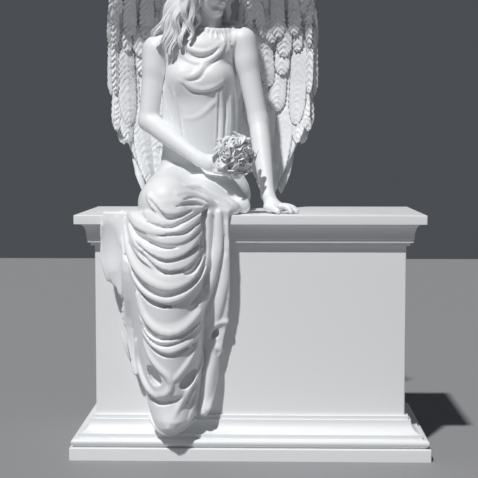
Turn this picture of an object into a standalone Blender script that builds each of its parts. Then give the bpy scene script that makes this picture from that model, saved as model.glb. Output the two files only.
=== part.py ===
"""Angel headstone: a marble angel who sits on a moulded pedestal, with her mantle hanging down its front.

Metres, +Z up, front towards -Y. The origin is the middle of the base stone's underside.
"""

import math

import bmesh
import bpy
import numpy as np

# Pedestal stones
DIE_WIDTH = 1.055
DIE_DEPTH = 0.465
DIE_HEIGHT = 0.579
BASE_HEIGHT = 0.143
BASE_OVERHANG = 0.0825
PLINTH_HEIGHT = 0.042
TORUS_HEIGHT = 0.024
CAP_HEIGHT = 0.106
CAP_OVERHANG = 0.0625
FASCIA_HEIGHT = 0.031
ARRIS = 0.003

# Mouldings, from the ground up: how far things step in or out, and how high the plain fillets are
PLINTH_STEP = 0.016
TORUS_BED = 0.005
TORUS_ROUND = 0.011
TORUS_STEP = 0.010
SWEEP_FILLET = 0.014
SWEEP_END = 0.020
TOP_FILLET = 0.012
CAP_FILLETS = [(0.013, 0.0), (0.013, 0.011), (0.023, 0.012), (0.023, 0.022)]
COVE_FOOT = (0.025, 0.024)
COVE_STEP = 0.022
COVE_TOP = 0.004
SLOPE = 0.0005

# Stones that touch keep this gap
JOINT_GAP = 0.0003

# Carving
FIGURE_HEIGHT = 0.96
CARVING_STEP = 0.0065
ANGEL_FACES = 9400
FAR = 1.0

SEAT = BASE_HEIGHT + DIE_HEIGHT + CAP_HEIGHT
CAP_FRONT = -(DIE_DEPTH / 2 + CAP_OVERHANG)
# The figure's points below are drawn in metres above the seat for a figure 0.96 m from seat to wing top
DRAWN_HEIGHT = 0.96
LIFE = FIGURE_HEIGHT / DRAWN_HEIGHT

MARBLE = (0.86, 0.87, 0.88, 1.0)
MARBLE_ROUGHNESS = 0.38
STONE_TINTS = {"base": 0.98, "die": 1.0, "cap": 0.99, "angel": 1.02}


def clear_scene():
    """Removes the objects that a new file starts with."""
    for old in list(bpy.data.objects):
        bpy.data.objects.remove(old)


def marble(stone):
    """White marble, a shade darker or lighter from stone to stone."""
    material = bpy.data.materials.new(f"{stone}_marble")
    tint = STONE_TINTS[stone]
    material.use_nodes = True
    shader = material.node_tree.nodes["Principled BSDF"]
    shader.inputs["Base Color"].default_value = tuple(c * tint for c in MARBLE[:3]) + (1.0,)
    shader.inputs["Roughness"].default_value = MARBLE_ROUGHNESS
    shader.inputs["Metallic"].default_value = 0.0
    return material


def link(name, mesh, material):
    """Puts a mesh in the scene as one named stone."""
    stone = bpy.data.objects.new(name, mesh)
    mesh.materials.clear()
    mesh.materials.append(material)
    bpy.context.scene.collection.objects.link(stone)
    return stone


# Pedestal

def arc(centre_out, centre_up, radius_out, radius_up, start, end, steps):
    """Points of an elliptical arc in a moulding's profile, as (outward, up), angles in degrees."""
    angles = [math.radians(start + (end - start) * i / steps) for i in range(steps + 1)]
    return [(centre_out + radius_out * math.cos(a), centre_up + radius_up * math.sin(a)) for a in angles]


def base_profile():
    """Plinth, torus, fillet, a hollow sweep and a top fillet, from the ground up."""
    torus_low = PLINTH_HEIGHT + TORUS_BED
    torus_high = torus_low + TORUS_HEIGHT
    shoulder = BASE_OVERHANG - PLINTH_STEP
    sweep_low = torus_high + SWEEP_FILLET
    sweep_high = BASE_HEIGHT - SWEEP_FILLET
    foot_out = shoulder - TORUS_STEP
    points = [(BASE_OVERHANG, 0.0), (BASE_OVERHANG, PLINTH_HEIGHT), (shoulder, PLINTH_HEIGHT)]
    points += arc(shoulder, (torus_low + torus_high) / 2, TORUS_ROUND, TORUS_HEIGHT / 2, -90, 90, 6)
    points += [(foot_out, torus_high + SLOPE)]
    points += arc(foot_out, sweep_high, foot_out - SWEEP_END, sweep_high - sweep_low, -90, -180, 5)
    points += [(TOP_FILLET, sweep_high + SLOPE), (TOP_FILLET, BASE_HEIGHT)]
    return points


def cap_profile():
    """Two fillets, a cove, a soffit and the fascia, from the cap's bed up."""
    soffit = CAP_HEIGHT - FASCIA_HEIGHT
    foot_out, foot_up = COVE_FOOT
    cove_out = CAP_OVERHANG - COVE_STEP
    points = list(CAP_FILLETS)
    points += arc(cove_out, foot_up, cove_out - foot_out, soffit - foot_up - COVE_TOP, 180, 90, 5)
    points += [(cove_out, soffit), (CAP_OVERHANG, soffit + SLOPE), (CAP_OVERHANG, CAP_HEIGHT - ARRIS)]
    points += [(CAP_OVERHANG - ARRIS, CAP_HEIGHT)]
    return points


def moulded_stone(name, profile, bed, material):
    """A rectangular stone whose profile runs round all four sides, mitred at the corners."""
    form = bmesh.new()
    rings = []
    for outward, up in profile:
        half_x = DIE_WIDTH / 2 + outward
        half_y = DIE_DEPTH / 2 + outward
        corners = [(-half_x, -half_y), (half_x, -half_y), (half_x, half_y), (-half_x, half_y)]
        rings.append([form.verts.new((x, y, bed + up)) for x, y in corners])
    for low, high in zip(rings, rings[1:]):
        for i in range(4):
            form.faces.new((low[i], low[(i + 1) % 4], high[(i + 1) % 4], high[i]))
    form.faces.new(list(reversed(rings[0])))
    form.faces.new(rings[-1])
    bmesh.ops.recalc_face_normals(form, faces=form.faces)
    mesh = bpy.data.meshes.new(name)
    form.to_mesh(mesh)
    form.free()
    return link(name, mesh, material)


def grown(profile, gap):
    """The profile moved outwards by a gap, square to each of its edges."""
    points = np.array(profile)
    edges = np.diff(points, axis=0)
    edges /= np.linalg.norm(edges, axis=1)[:, None]
    normals = np.stack([edges[:, 1], -edges[:, 0]], axis=1)
    before = np.vstack([normals[:1], normals])
    after = np.vstack([normals, normals[-1:]])
    shared = before + after
    mitre = 1.0 + (before * after).sum(axis=1)
    return [tuple(p) for p in points + gap * shared / np.maximum(mitre, 0.3)[:, None]]


def pedestal_outline():
    """The whole pedestal's profile as one line, for the cut under and behind the figure."""
    die_top = BASE_HEIGHT + DIE_HEIGHT
    line = base_profile() + [(0.0, BASE_HEIGHT), (0.0, die_top)]
    line += [(outward, die_top + up) for outward, up in cap_profile()]
    return line


# Carving: a field of distances, negative inside the stone, in which forms are joined with rounded seams

def swell(count, middle, ends):
    """Radii of a fold that is full in the middle and thin at its ends."""
    return [ends + (middle - ends) * math.sin(math.pi * i / (count - 1)) ** 0.7 for i in range(count)]


def smooth_line(points, count):
    """count points on a smooth curve through the given ones."""
    given = np.array(points, float)
    padded = np.vstack([2 * given[0] - given[1], given, 2 * given[-1] - given[-2]])
    spans = len(given) - 1
    line = []
    for step in range(count):
        place = spans * step / (count - 1)
        k = min(int(place), spans - 1)
        t = place - k
        a, b, c, d = padded[k : k + 4]
        bend, twist = 2 * a - 5 * b + 4 * c - d, 3 * b - a - 3 * c + d
        line.append(0.5 * (2 * b + (c - a) * t + bend * t**2 + twist * t**3))
    return np.array(line)


def turned(turn, lean):
    """A rotation by lean about X, then by turn about Z, in degrees."""
    t, n = math.radians(turn), math.radians(lean)
    about_z = np.array([[math.cos(t), -math.sin(t), 0], [math.sin(t), math.cos(t), 0], [0, 0, 1]])
    about_x = np.array([[1, 0, 0], [0, math.cos(n), -math.sin(n)], [0, math.sin(n), math.cos(n)]])
    return about_z @ about_x


class Field:
    """Distances to the carving's skin on a regular grid. Points are given in metres above the seat."""

    def __init__(self, low, high, step):
        self.step = step
        self.low = np.array(low, float)
        counts = np.ceil((np.array(high) - self.low) / step).astype(int) + 1
        self.axes = [(self.low[k] + step * np.arange(counts[k])).astype(np.float32) for k in range(3)]
        self.values = np.full(counts, FAR, np.float32)

    def window(self, low, high):
        """The part of the grid in a box: its slices, and its places along X, Y and Z."""
        cut, places = [], []
        for k in range(3):
            last = len(self.axes[k])
            start = int(np.clip((low[k] - self.low[k]) / self.step, 0, last - 1))
            stop = int(np.clip((high[k] - self.low[k]) / self.step + 2, start + 1, last))
            shape = [1, 1, 1]
            shape[k] = -1
            cut.append(slice(start, stop))
            places.append(self.axes[k][start:stop].reshape(shape))
        return tuple(cut), places

    def join(self, cut, distance, blend):
        """Adds a form, with a seam rounded over the blend's width."""
        old = self.values[cut]
        near = np.maximum(blend - np.abs(old - distance), 0.0)
        self.values[cut] = np.minimum(old, distance) - near**2 / (4.0 * blend)

    def carve(self, cut, distance, blend):
        """Cuts a form away, with an edge rounded over the blend's width."""
        old = self.values[cut]
        near = np.maximum(blend - np.abs(old + distance), 0.0)
        self.values[cut] = np.maximum(old, -distance) + near**2 / (4.0 * blend)

    def ball(self, centre, radii, turn=0.0, lean=0.0, blend=0.02):
        """Joins an ellipsoid, turned about Z and leant about X, in degrees."""
        reach = max(radii) + 2 * blend
        cut, places = self.window([c - reach for c in centre], [c + reach for c in centre])
        axes = turned(turn, lean)
        local = [sum((places[k] - centre[k]) * axes[k][i] for k in range(3)) for i in range(3)]
        near = np.sqrt(sum((local[i] / radii[i]) ** 2 for i in range(3)))
        slope = np.sqrt(sum((local[i] / radii[i] ** 2) ** 2 for i in range(3))) + 1e-6
        self.join(cut, near * (near - 1.0) / slope, blend)

    def chain(self, points, radii, blend=0.006, flatten=1.0, face=(0.0, -1.0, 0.0), away=False):
        """Joins, or cuts away, a round rod along points. flatten squeezes its section along face."""
        line = np.array(points, float)
        radii = np.array(radii, float)
        normal = np.array(face, float) / np.linalg.norm(face)
        weight = 1.0 / flatten**2 - 1.0
        reach = radii.max() + 2 * blend
        cut, places = self.window(line.min(axis=0) - reach, line.max(axis=0) + reach)
        nearest = None
        for a, b, radius_a, radius_b in zip(line[:-1], line[1:], radii[:-1], radii[1:]):
            run = b - a
            off = [places[k] - a[k] for k in range(3)]
            run_up = float(run @ normal)
            length = float(run @ run) + weight * run_up**2 + 1e-9
            up = sum(off[k] * normal[k] for k in range(3)) if weight else 0.0
            along = sum(off[k] * run[k] for k in range(3)) + weight * run_up * up
            share = np.clip(along / length, 0.0, 1.0)
            square = sum(off[k] ** 2 for k in range(3)) + weight * up**2
            square = square - share * (2 * along - share * length)
            distance = np.sqrt(np.maximum(square, 0.0)) - (radius_a + (radius_b - radius_a) * share)
            nearest = distance if nearest is None else np.minimum(nearest, distance)
        (self.carve if away else self.join)(cut, nearest, blend)

    def sample(self, points):
        """Distances at points, between the grid's."""
        place = (points - self.low) / self.step
        cell = np.clip(place.astype(int), 0, np.array(self.values.shape) - 2)
        share = place - cell
        total = 0.0
        for corner in ((i, j, k) for i in (0, 1) for j in (0, 1) for k in (0, 1)):
            weights = np.where(corner, share, 1.0 - share).prod(axis=1)
            total = total + weights * self.values[tuple((cell + corner).T)]
        return total

    def skin(self):
        """The zero surface: one corner in each cell it crosses, and the quads between them."""
        inside = self.values < 0
        near = [slice(None, -1), slice(1, None)]
        eight = [(i, j, k) for i in (0, 1) for j in (0, 1) for k in (0, 1)]
        filled = sum(inside[near[i], near[j], near[k]].astype(np.uint8) for i, j, k in eight)
        crossed = (filled > 0) & (filled < 8)
        cells = np.argwhere(crossed)
        number = np.full(crossed.shape, -1, np.int32)
        number[crossed] = np.arange(len(cells))
        place, count = np.zeros((len(cells), 3)), np.zeros(len(cells))
        for axis in range(3):
            side, other = [k for k in range(3) if k != axis]
            for i in (0, 1):
                for j in (0, 1):
                    start = np.zeros(3, int)
                    start[side], start[other] = i, j
                    end = start.copy()
                    end[axis] = 1
                    a = self.values[tuple((cells + start).T)]
                    b = self.values[tuple((cells + end).T)]
                    hit = (a < 0) != (b < 0)
                    share = np.where(hit, a / np.where(hit, a - b, 1.0), 0.0)
                    place[hit] += start + share[hit][:, None] * (end - start)
                    count += hit
        corners = self.low + self.step * (cells + place / count[:, None])
        quads = []
        for axis in range(3):
            low_side = [slice(None)] * 3
            high_side = [slice(None)] * 3
            low_side[axis], high_side[axis] = slice(None, -1), slice(1, None)
            leaving = inside[tuple(low_side)]
            edges = np.argwhere(leaving != inside[tuple(high_side)])
            first, second = (axis + 1) % 3, (axis + 2) % 3
            for side in (first, second):
                edges = edges[(edges[:, side] > 0) & (edges[:, side] < crossed.shape[side])]
            back_first, back_second = np.zeros(3, int), np.zeros(3, int)
            back_first[first], back_second[second] = 1, 1
            ring = np.stack([number[tuple((edges - shift).T)] for shift in
                             (back_first + back_second, back_second, np.zeros(3, int), back_first)], axis=1)
            outward = leaving[tuple(edges.T)]
            ring[~outward] = ring[~outward][:, ::-1]
            quads.append(ring)
        return corners, np.vstack(quads)


# Figure, in metres above the seat, for a figure DRAWN_HEIGHT from seat to wing top

SHOULDERS = {"right": (-0.338, 0.015, 0.572), "left": (-0.031, 0.012, 0.601)}
ELBOWS = {"right": (-0.364, -0.015, 0.318), "left": (0.025, -0.020, 0.322)}
WRISTS = {"right": (-0.172, -0.185, 0.184), "left": (0.060, -0.150, 0.060)}
UPPER_ARM = (0.044, 0.041, 0.038, 0.036, 0.035)
FOREARM = (0.034, 0.035, 0.032, 0.027, 0.023)
HEAD_CENTRE = (-0.150, -0.030, 0.816)
HEAD_TURN = 62.0
HEAD_NOD = 20.0
NECK = [(-0.165, 0.030, 0.590), (-0.160, 0.016, 0.655), (-0.150, 0.004, 0.735)]
BOUQUET = (-0.052, -0.225, 0.196)
BOUQUET_RADII = (0.054, 0.046, 0.060)
BLOSSOMS = 22
BLOSSOM_RADIUS = 0.016


def head_point(side, ahead, up):
    """A point of the head, from its own centre: towards its left, ahead and up."""
    return np.array(HEAD_CENTRE) + turned(HEAD_TURN, HEAD_NOD) @ np.array((side, -ahead, up))


def add_arms(field):
    """Both arms, from shoulder to hand."""
    for side in ("right", "left"):
        field.ball(SHOULDERS[side], (0.046, 0.046, 0.046), blend=0.03)
        field.chain(smooth_line([SHOULDERS[side], ELBOWS[side]], 5), UPPER_ARM, blend=0.015)
        field.chain(smooth_line([ELBOWS[side], WRISTS[side]], 5), FOREARM, blend=0.012)
    add_resting_hand(field)
    add_holding_hand(field)


def add_resting_hand(field):
    """The left hand, flat on the seat, its fingers spread to the side."""
    wrist, palm = np.array(WRISTS["left"]), np.array((0.080, -0.172, 0.022))
    field.chain([wrist, palm], (0.022, 0.024), blend=0.012)
    field.ball(palm, (0.036, 0.036, 0.020), turn=-20, blend=0.012)
    for finger, heading in enumerate((18, 0, -18, -38)):
        way = np.array((math.cos(math.radians(heading)), math.sin(math.radians(heading)), 0.0))
        reach = 0.084 - 0.007 * abs(finger - 1.4)
        knuckle = palm + way * 0.034 + (0, 0, 0.002)
        middle = palm + way * 0.060 + (0, 0, 0.000)
        tip = palm + way * reach + (0, 0, -0.012)
        field.chain([knuckle, middle, tip], (0.0105, 0.0095, 0.0080), blend=0.004)
    field.chain([palm + (-0.010, -0.020, 0), palm + (0.012, -0.058, -0.011)], (0.013, 0.010), blend=0.005)


def add_holding_hand(field):
    """The right hand, closed round the bouquet's stems."""
    wrist, palm = np.array(WRISTS["right"]), np.array((-0.132, -0.216, 0.172))
    field.chain([wrist, palm], (0.022, 0.024), blend=0.012)
    field.ball(palm, (0.040, 0.024, 0.030), turn=-22, blend=0.012)
    for finger in range(4):
        root = palm + (0.014, -0.014, 0.016 - 0.014 * finger)
        joints = [root, root + (0.026, -0.014, -0.004), root + (0.048, -0.008, -0.012)]
        field.chain(joints, (0.010, 0.009, 0.0075), blend=0.004)


def add_trunk(field):
    """Trunk under its loose gown, with the bust, shoulders and neck."""
    column = [(-0.190, 0.020, 0.060), (-0.184, 0.008, 0.220), (-0.182, 0.004, 0.400), (-0.182, 0.012, 0.520)]
    field.chain(column, (0.150, 0.132, 0.134, 0.118), blend=0.03, flatten=0.68)
    field.ball((-0.190, 0.050, 0.070), (0.160, 0.140, 0.105), blend=0.04)
    field.ball((-0.105, 0.020, 0.055), (0.100, 0.120, 0.090), blend=0.04)
    yoke = [SHOULDERS["right"], (-0.190, 0.020, 0.592), SHOULDERS["left"]]
    field.chain(yoke, (0.042, 0.052, 0.044), blend=0.04)
    for x in (-0.232, -0.134):
        field.ball((x, -0.060, 0.468), (0.050, 0.046, 0.050), blend=0.06)
    field.ball((-0.172, -0.036, 0.572), (0.098, 0.050, 0.060), lean=-20, blend=0.03)
    field.chain(NECK, (0.058, 0.048, 0.050), blend=0.03)


def add_head(field):
    """Skull, face, jaw and nose, looking down to her left, and the hair over the skull."""
    field.ball(head_point(0, -0.026, 0.044), (0.086, 0.100, 0.086), HEAD_TURN, HEAD_NOD, blend=0.02)
    field.ball(head_point(0, -0.012, 0.030), (0.076, 0.094, 0.086), HEAD_TURN, HEAD_NOD, blend=0.02)
    field.ball(head_point(0, 0.030, -0.030), (0.059, 0.062, 0.078), HEAD_TURN, HEAD_NOD, blend=0.03)
    field.ball(head_point(0, 0.064, -0.092), (0.022, 0.022, 0.022), blend=0.03)
    field.chain([head_point(0, 0.084, 0.016), head_point(0, 0.104, -0.024)], (0.008, 0.012), blend=0.012)
    lips = [head_point(-0.016, 0.084, -0.066), head_point(0.016, 0.084, -0.066)]
    field.chain(lips, (0.010, 0.010), blend=0.010)
    for side in (-0.028, 0.028):
        field.ball(head_point(side, 0.088, 0.012), (0.014, 0.014, 0.010), blend=0.004)


# Hair locks over her right shoulder, then those behind: the lock's radius and its points
HAIR_LOCKS = [
    (0.026, [(-0.170, 0.020, 0.908), (-0.232, 0.005, 0.850), (-0.272, 0.000, 0.750),
             (-0.312, 0.000, 0.665), (-0.352, 0.005, 0.600)]),
    (0.026, [(-0.165, -0.005, 0.912), (-0.226, -0.030, 0.840), (-0.260, -0.040, 0.740),
             (-0.292, -0.044, 0.650), (-0.322, -0.040, 0.580)]),
    (0.025, [(-0.160, -0.020, 0.910), (-0.220, -0.060, 0.820), (-0.250, -0.070, 0.730),
             (-0.274, -0.080, 0.640), (-0.300, -0.085, 0.560)]),
    (0.023, [(-0.155, -0.030, 0.908), (-0.210, -0.086, 0.810), (-0.238, -0.090, 0.720),
             (-0.260, -0.094, 0.640), (-0.276, -0.105, 0.555)]),
    (0.02, [(-0.150, -0.040, 0.904), (-0.200, -0.104, 0.800), (-0.224, -0.100, 0.710),
             (-0.236, -0.094, 0.645), (-0.240, -0.108, 0.580)]),
    (0.016, [(-0.145, -0.045, 0.902), (-0.186, -0.112, 0.800), (-0.208, -0.100, 0.715),
             (-0.214, -0.094, 0.650), (-0.212, -0.100, 0.600)]),
    (0.024, [(-0.140, -0.030, 0.910), (-0.095, -0.050, 0.892), (-0.068, -0.020, 0.830),
             (-0.076, 0.030, 0.770), (-0.105, 0.060, 0.710)]),
    (0.03, [(-0.145, 0.000, 0.915), (-0.100, 0.010, 0.890), (-0.078, 0.040, 0.810),
             (-0.092, 0.075, 0.730), (-0.115, 0.095, 0.650)]),
    (0.036, [(-0.155, 0.020, 0.912), (-0.132, 0.065, 0.855), (-0.126, 0.090, 0.770),
             (-0.132, 0.105, 0.670), (-0.132, 0.125, 0.560)]),
    (0.038, [(-0.165, 0.020, 0.912), (-0.184, 0.065, 0.850), (-0.190, 0.085, 0.760),
             (-0.186, 0.110, 0.660), (-0.182, 0.130, 0.540)]),
    (0.036, [(-0.170, 0.010, 0.910), (-0.222, 0.050, 0.840), (-0.244, 0.075, 0.750),
             (-0.250, 0.100, 0.660), (-0.242, 0.120, 0.560)]),
]
LOCK_POINTS = 10


def add_hair(field):
    """Long wavy locks over her right shoulder and down her back."""
    for number, (radius, line) in enumerate(HAIR_LOCKS):
        points = smooth_line(line, LOCK_POINTS)
        for i in range(LOCK_POINTS):
            sway = 0.006 * math.sin(i * 1.5 + number)
            points[i] += (sway, 0.4 * sway, 0.0)
        shares = [i / (LOCK_POINTS - 1) for i in range(LOCK_POINTS)]
        radii = [radius * (0.75 + 0.35 * math.sin(math.pi * share) - 0.5 * share**3) for share in shares]
        field.chain(points, radii, flatten=0.8)


def add_lap(field):
    """Thighs under cloth: the right one to the seat's front edge, the left one folded to the side."""
    thigh = [(-0.250, 0.030, 0.070), (-0.274, -0.180, 0.056), (-0.277, -0.330, 0.040)]
    field.chain(thigh, (0.100, 0.094, 0.092), blend=0.03)
    folded = [(-0.150, 0.010, 0.060), (-0.110, -0.130, 0.052), (-0.034, -0.190, 0.028)]
    field.chain(folded, (0.098, 0.080, 0.034), blend=0.04)
    field.ball((-0.190, -0.180, 0.045), (0.110, 0.170, 0.078), blend=0.03)
    field.ball((-0.120, -0.255, 0.020), (0.085, 0.060, 0.045), blend=0.03)


# Mantle: heights above the seat with its left edge, its right edge, and how far it stands before the cap's
# face, as (rim, bulge, the bulge's middle, its half width)
MANTLE_LEFT = [
    (0.03, -0.490), (-0.10, -0.497), (-0.15, -0.491), (-0.19, -0.481), (-0.225, -0.468),
    (-0.240, -0.450), (-0.276, -0.428), (-0.338, -0.438), (-0.371, -0.435), (-0.420, -0.415),
    (-0.475, -0.405), (-0.534, -0.385), (-0.560, -0.362), (-0.632, -0.352), (-0.681, -0.336),
    (-0.707, -0.313), (-0.728, -0.285),
]
MANTLE_RIGHT = [
    (0.03, -0.072), (-0.10, -0.068), (-0.27, -0.068), (-0.355, -0.075), (-0.440, -0.092),
    (-0.470, -0.098), (-0.510, -0.121), (-0.550, -0.121), (-0.600, -0.138), (-0.650, -0.155),
    (-0.665, -0.164), (-0.697, -0.214), (-0.728, -0.250),
]
MANTLE_DEPTH = [
    (0.030, 0.010, 0.105, -0.280, 0.128),
    (-0.028, 0.018, 0.136, -0.284, 0.130),
    (-0.108, 0.018, 0.146, -0.284, 0.132),
    (-0.188, 0.014, 0.146, -0.280, 0.130),
    (-0.268, 0.004, 0.142, -0.276, 0.128),
    (-0.328, -0.006, 0.138, -0.274, 0.124),
    (-0.388, -0.016, 0.132, -0.272, 0.120),
    (-0.458, -0.020, 0.124, -0.268, 0.114),
    (-0.528, -0.020, 0.114, -0.264, 0.106),
    (-0.588, -0.018, 0.104, -0.260, 0.096),
    (-0.638, -0.010, 0.092, -0.258, 0.086),
    (-0.678, 0.000, 0.078, -0.258, 0.072),
    (-0.710, 0.010, 0.058, -0.262, 0.052),
    (-0.728, 0.016, 0.034, -0.266, 0.034),
]
MANTLE_TOP = 0.012
MANTLE_TIP = -0.724


def along(table, height):
    """A table's columns at a height, between its rows, which run downwards."""
    rows = np.array(table)[::-1]
    return [np.interp(height, rows[:, 0], rows[:, k]) for k in range(1, rows.shape[1])]


def mantle_out(x, height):
    """How far the mantle's ground stands in front of the cap's face."""
    rim, bulge, middle, half = along(MANTLE_DEPTH, height)
    share = np.clip(1.0 - ((x - middle) / half) ** 2, 0.0, 1.0)
    return rim + (bulge - rim) * share**0.6


def add_mantle(field):
    """The hanging mantle's ground, from the seat's edge to the tip near the base."""
    cut, (x, y, z) = field.window((-0.55, -0.52, MANTLE_TIP - 0.03), (-0.02, -0.10, 0.06))
    left, right = along(MANTLE_LEFT, z)[0], along(MANTLE_RIGHT, z)[0]
    front = CAP_FRONT - mantle_out(x, z)
    depth = np.maximum((front - y) * 0.7, y + 0.12)
    inset = np.maximum(y - CAP_FRONT, 0.0) * 0.55
    ends = np.maximum(z - MANTLE_TOP + 0.05 * inset, MANTLE_TIP - z)
    sides = np.maximum(np.maximum(left + inset - x, x - right), ends)
    field.join(cut, np.maximum(depth, sides).astype(np.float32), 0.02)


# The photograph, 478 pixels square, in which the folds are drawn: its focal length in pixels, its eye above
# the seat, and how far its rays are followed
PHOTO_MIDDLE = 239
PHOTO_FOCAL = 1204.0
PHOTO_EYE = (0.060, -4.295, 0.230)
LOOK_DOWN = 93
LOOK_ASIDE = 29
PHOTO_PITCH = math.atan(LOOK_DOWN / PHOTO_FOCAL)
PHOTO_YAW = math.atan(LOOK_ASIDE / PHOTO_FOCAL)
SIGHT = np.arange(3.75, 4.55, 0.002)

# Folds that stand proud, in pixels: (radius, flatness, points)
MANTLE_FOLDS = [
    (5, 0.6, [(149, 197), (155, 206), (165, 211), (178, 211), (190, 208), (201, 206)]),
    (4.5, 0.6, [(132, 207), (142, 214), (150, 217), (162, 222), (175, 220), (187, 214), (200, 210)]),
    (5, 0.6, [(128, 212), (136, 223), (150, 230), (165, 232), (180, 229), (192, 222), (201, 213)]),
    (4.5, 0.6, [(150, 237), (165, 241), (180, 240), (192, 232), (201, 222)]),
    (5, 0.6, [(130, 226), (136, 242), (146, 250), (158, 255), (170, 256), (183, 251), (193, 242),
              (201, 231)]),
    (4.5, 0.6, [(131, 240), (140, 254), (150, 262), (160, 267), (170, 268), (183, 265), (193, 257),
                (201, 246)]),
    (6.5, 0.6, [(126, 228), (129, 246), (135, 262), (145, 275), (157, 283), (169, 286), (182, 282),
                (193, 273), (202, 256)]),
    (5, 0.7, [(133, 272), (139, 284), (148, 293), (158, 298), (168, 300), (180, 297), (192, 289),
              (201, 278), (206, 262), (208, 245), (208, 225), (210, 213)]),
    (5.5, 0.7, [(138, 296), (143, 314), (152, 327), (165, 334), (178, 332), (191, 324), (203, 311),
                (212, 293), (217, 272), (219, 250), (220, 230), (221, 213)]),
    (2.8, 0.7, [(141, 320), (150, 335), (162, 341), (173, 341), (186, 335), (199, 323)]),
    (3.6, 0.7, [(144, 333), (154, 345), (168, 351), (180, 347), (191, 340), (202, 329)]),
    (3.2, 0.8, [(145, 344), (151, 358), (160, 369), (168, 377), (171, 386), (166, 394), (158, 396)]),
    (4.5, 0.7, [(137, 340), (139, 358), (143, 374), (149, 388), (158, 397)]),
    (3, 0.8, [(197, 344), (190, 358), (182, 370), (174, 380)]),
    (3, 0.8, [(203, 350), (200, 366), (190, 386), (179, 406), (168, 428)]),
    (3, 0.8, [(198, 384), (194, 400), (188, 420)]),
    (3, 0.8, [(203, 384), (202, 400), (201, 414)]),
    (2.6, 0.9, [(141, 392), (146, 412), (153, 426), (165, 433), (180, 429), (197, 418)]),
    (5, 0.5, [(226, 222), (226, 250), (225, 280), (221, 305), (217, 320)]),
    (2.6, 1.0, [(227, 322), (219, 323), (212, 328), (208, 337), (210, 345), (217, 349), (222, 351)]),
    (3.5, 0.8, [(206, 346), (206, 365), (204, 385), (203, 398)]),
    (3.2, 0.8, [(214, 352), (216, 362), (212, 378), (208, 396)]),
    (3.5, 0.7, [(102, 226), (102, 250), (108, 280)]),
    (6.5, 0.5, [(122, 214), (124, 236), (127, 262), (129, 290), (132, 320), (133, 350), (136, 372)]),
    (3, 0.8, [(121, 252), (121, 278), (120, 298)]),
    (3, 0.8, [(119, 322), (123, 340), (129, 360), (133, 374)]),
]
LAP_FOLDS = [
    (6, 0.6, [(192, 177), (207, 179), (223, 186), (240, 197)]),
    (4.5, 0.6, [(184, 186), (200, 188), (214, 194), (226, 202)]),
    (4, 0.6, [(176, 194), (194, 193), (206, 198), (213, 204)]),
    (4, 0.6, [(165, 201), (180, 200), (195, 200), (204, 205)]),
    (3.5, 0.6, [(139, 203), (145, 206), (150, 210), (156, 215)]),
    (3.5, 0.6, [(205, 170), (220, 173), (234, 184), (246, 199)]),
]
GOWN_FOLDS = [
    (2.4, 0.8, [(185, 45), (193, 50), (203, 52), (213, 49), (221, 42)]),
    (2.6, 0.8, [(180, 52), (190, 61), (201, 63), (211, 59), (220, 51), (224, 42), (225, 32)]),
    (2.6, 0.8, [(222, 50), (212, 58), (204, 64), (199, 71), (193, 76), (184, 77)]),
    (3.2, 0.7, [(180, 80), (190, 86), (201, 89), (212, 87), (222, 81)]),
    (4, 0.6, [(184, 118), (196, 117), (207, 109), (217, 98)]),
    (2, 0.8, [(221, 90), (222, 115), (221, 140)]),
    (1.8, 0.8, [(230, 98), (230, 118), (229, 140)]),
    (1.4, 0.8, [(237, 100), (237, 120), (237, 136)]),
    (1.8, 0.8, [(164, 86), (167, 112), (168, 142)]),
    (2, 0.8, [(173, 88), (178, 115), (184, 142)]),
    (1.6, 0.8, [(227, 34), (229, 48), (234, 64), (237, 78)]),
    (2.2, 0.8, [(196, 29), (206, 29), (215, 32), (223, 31), (231, 30), (238, 27)]),
]
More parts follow.
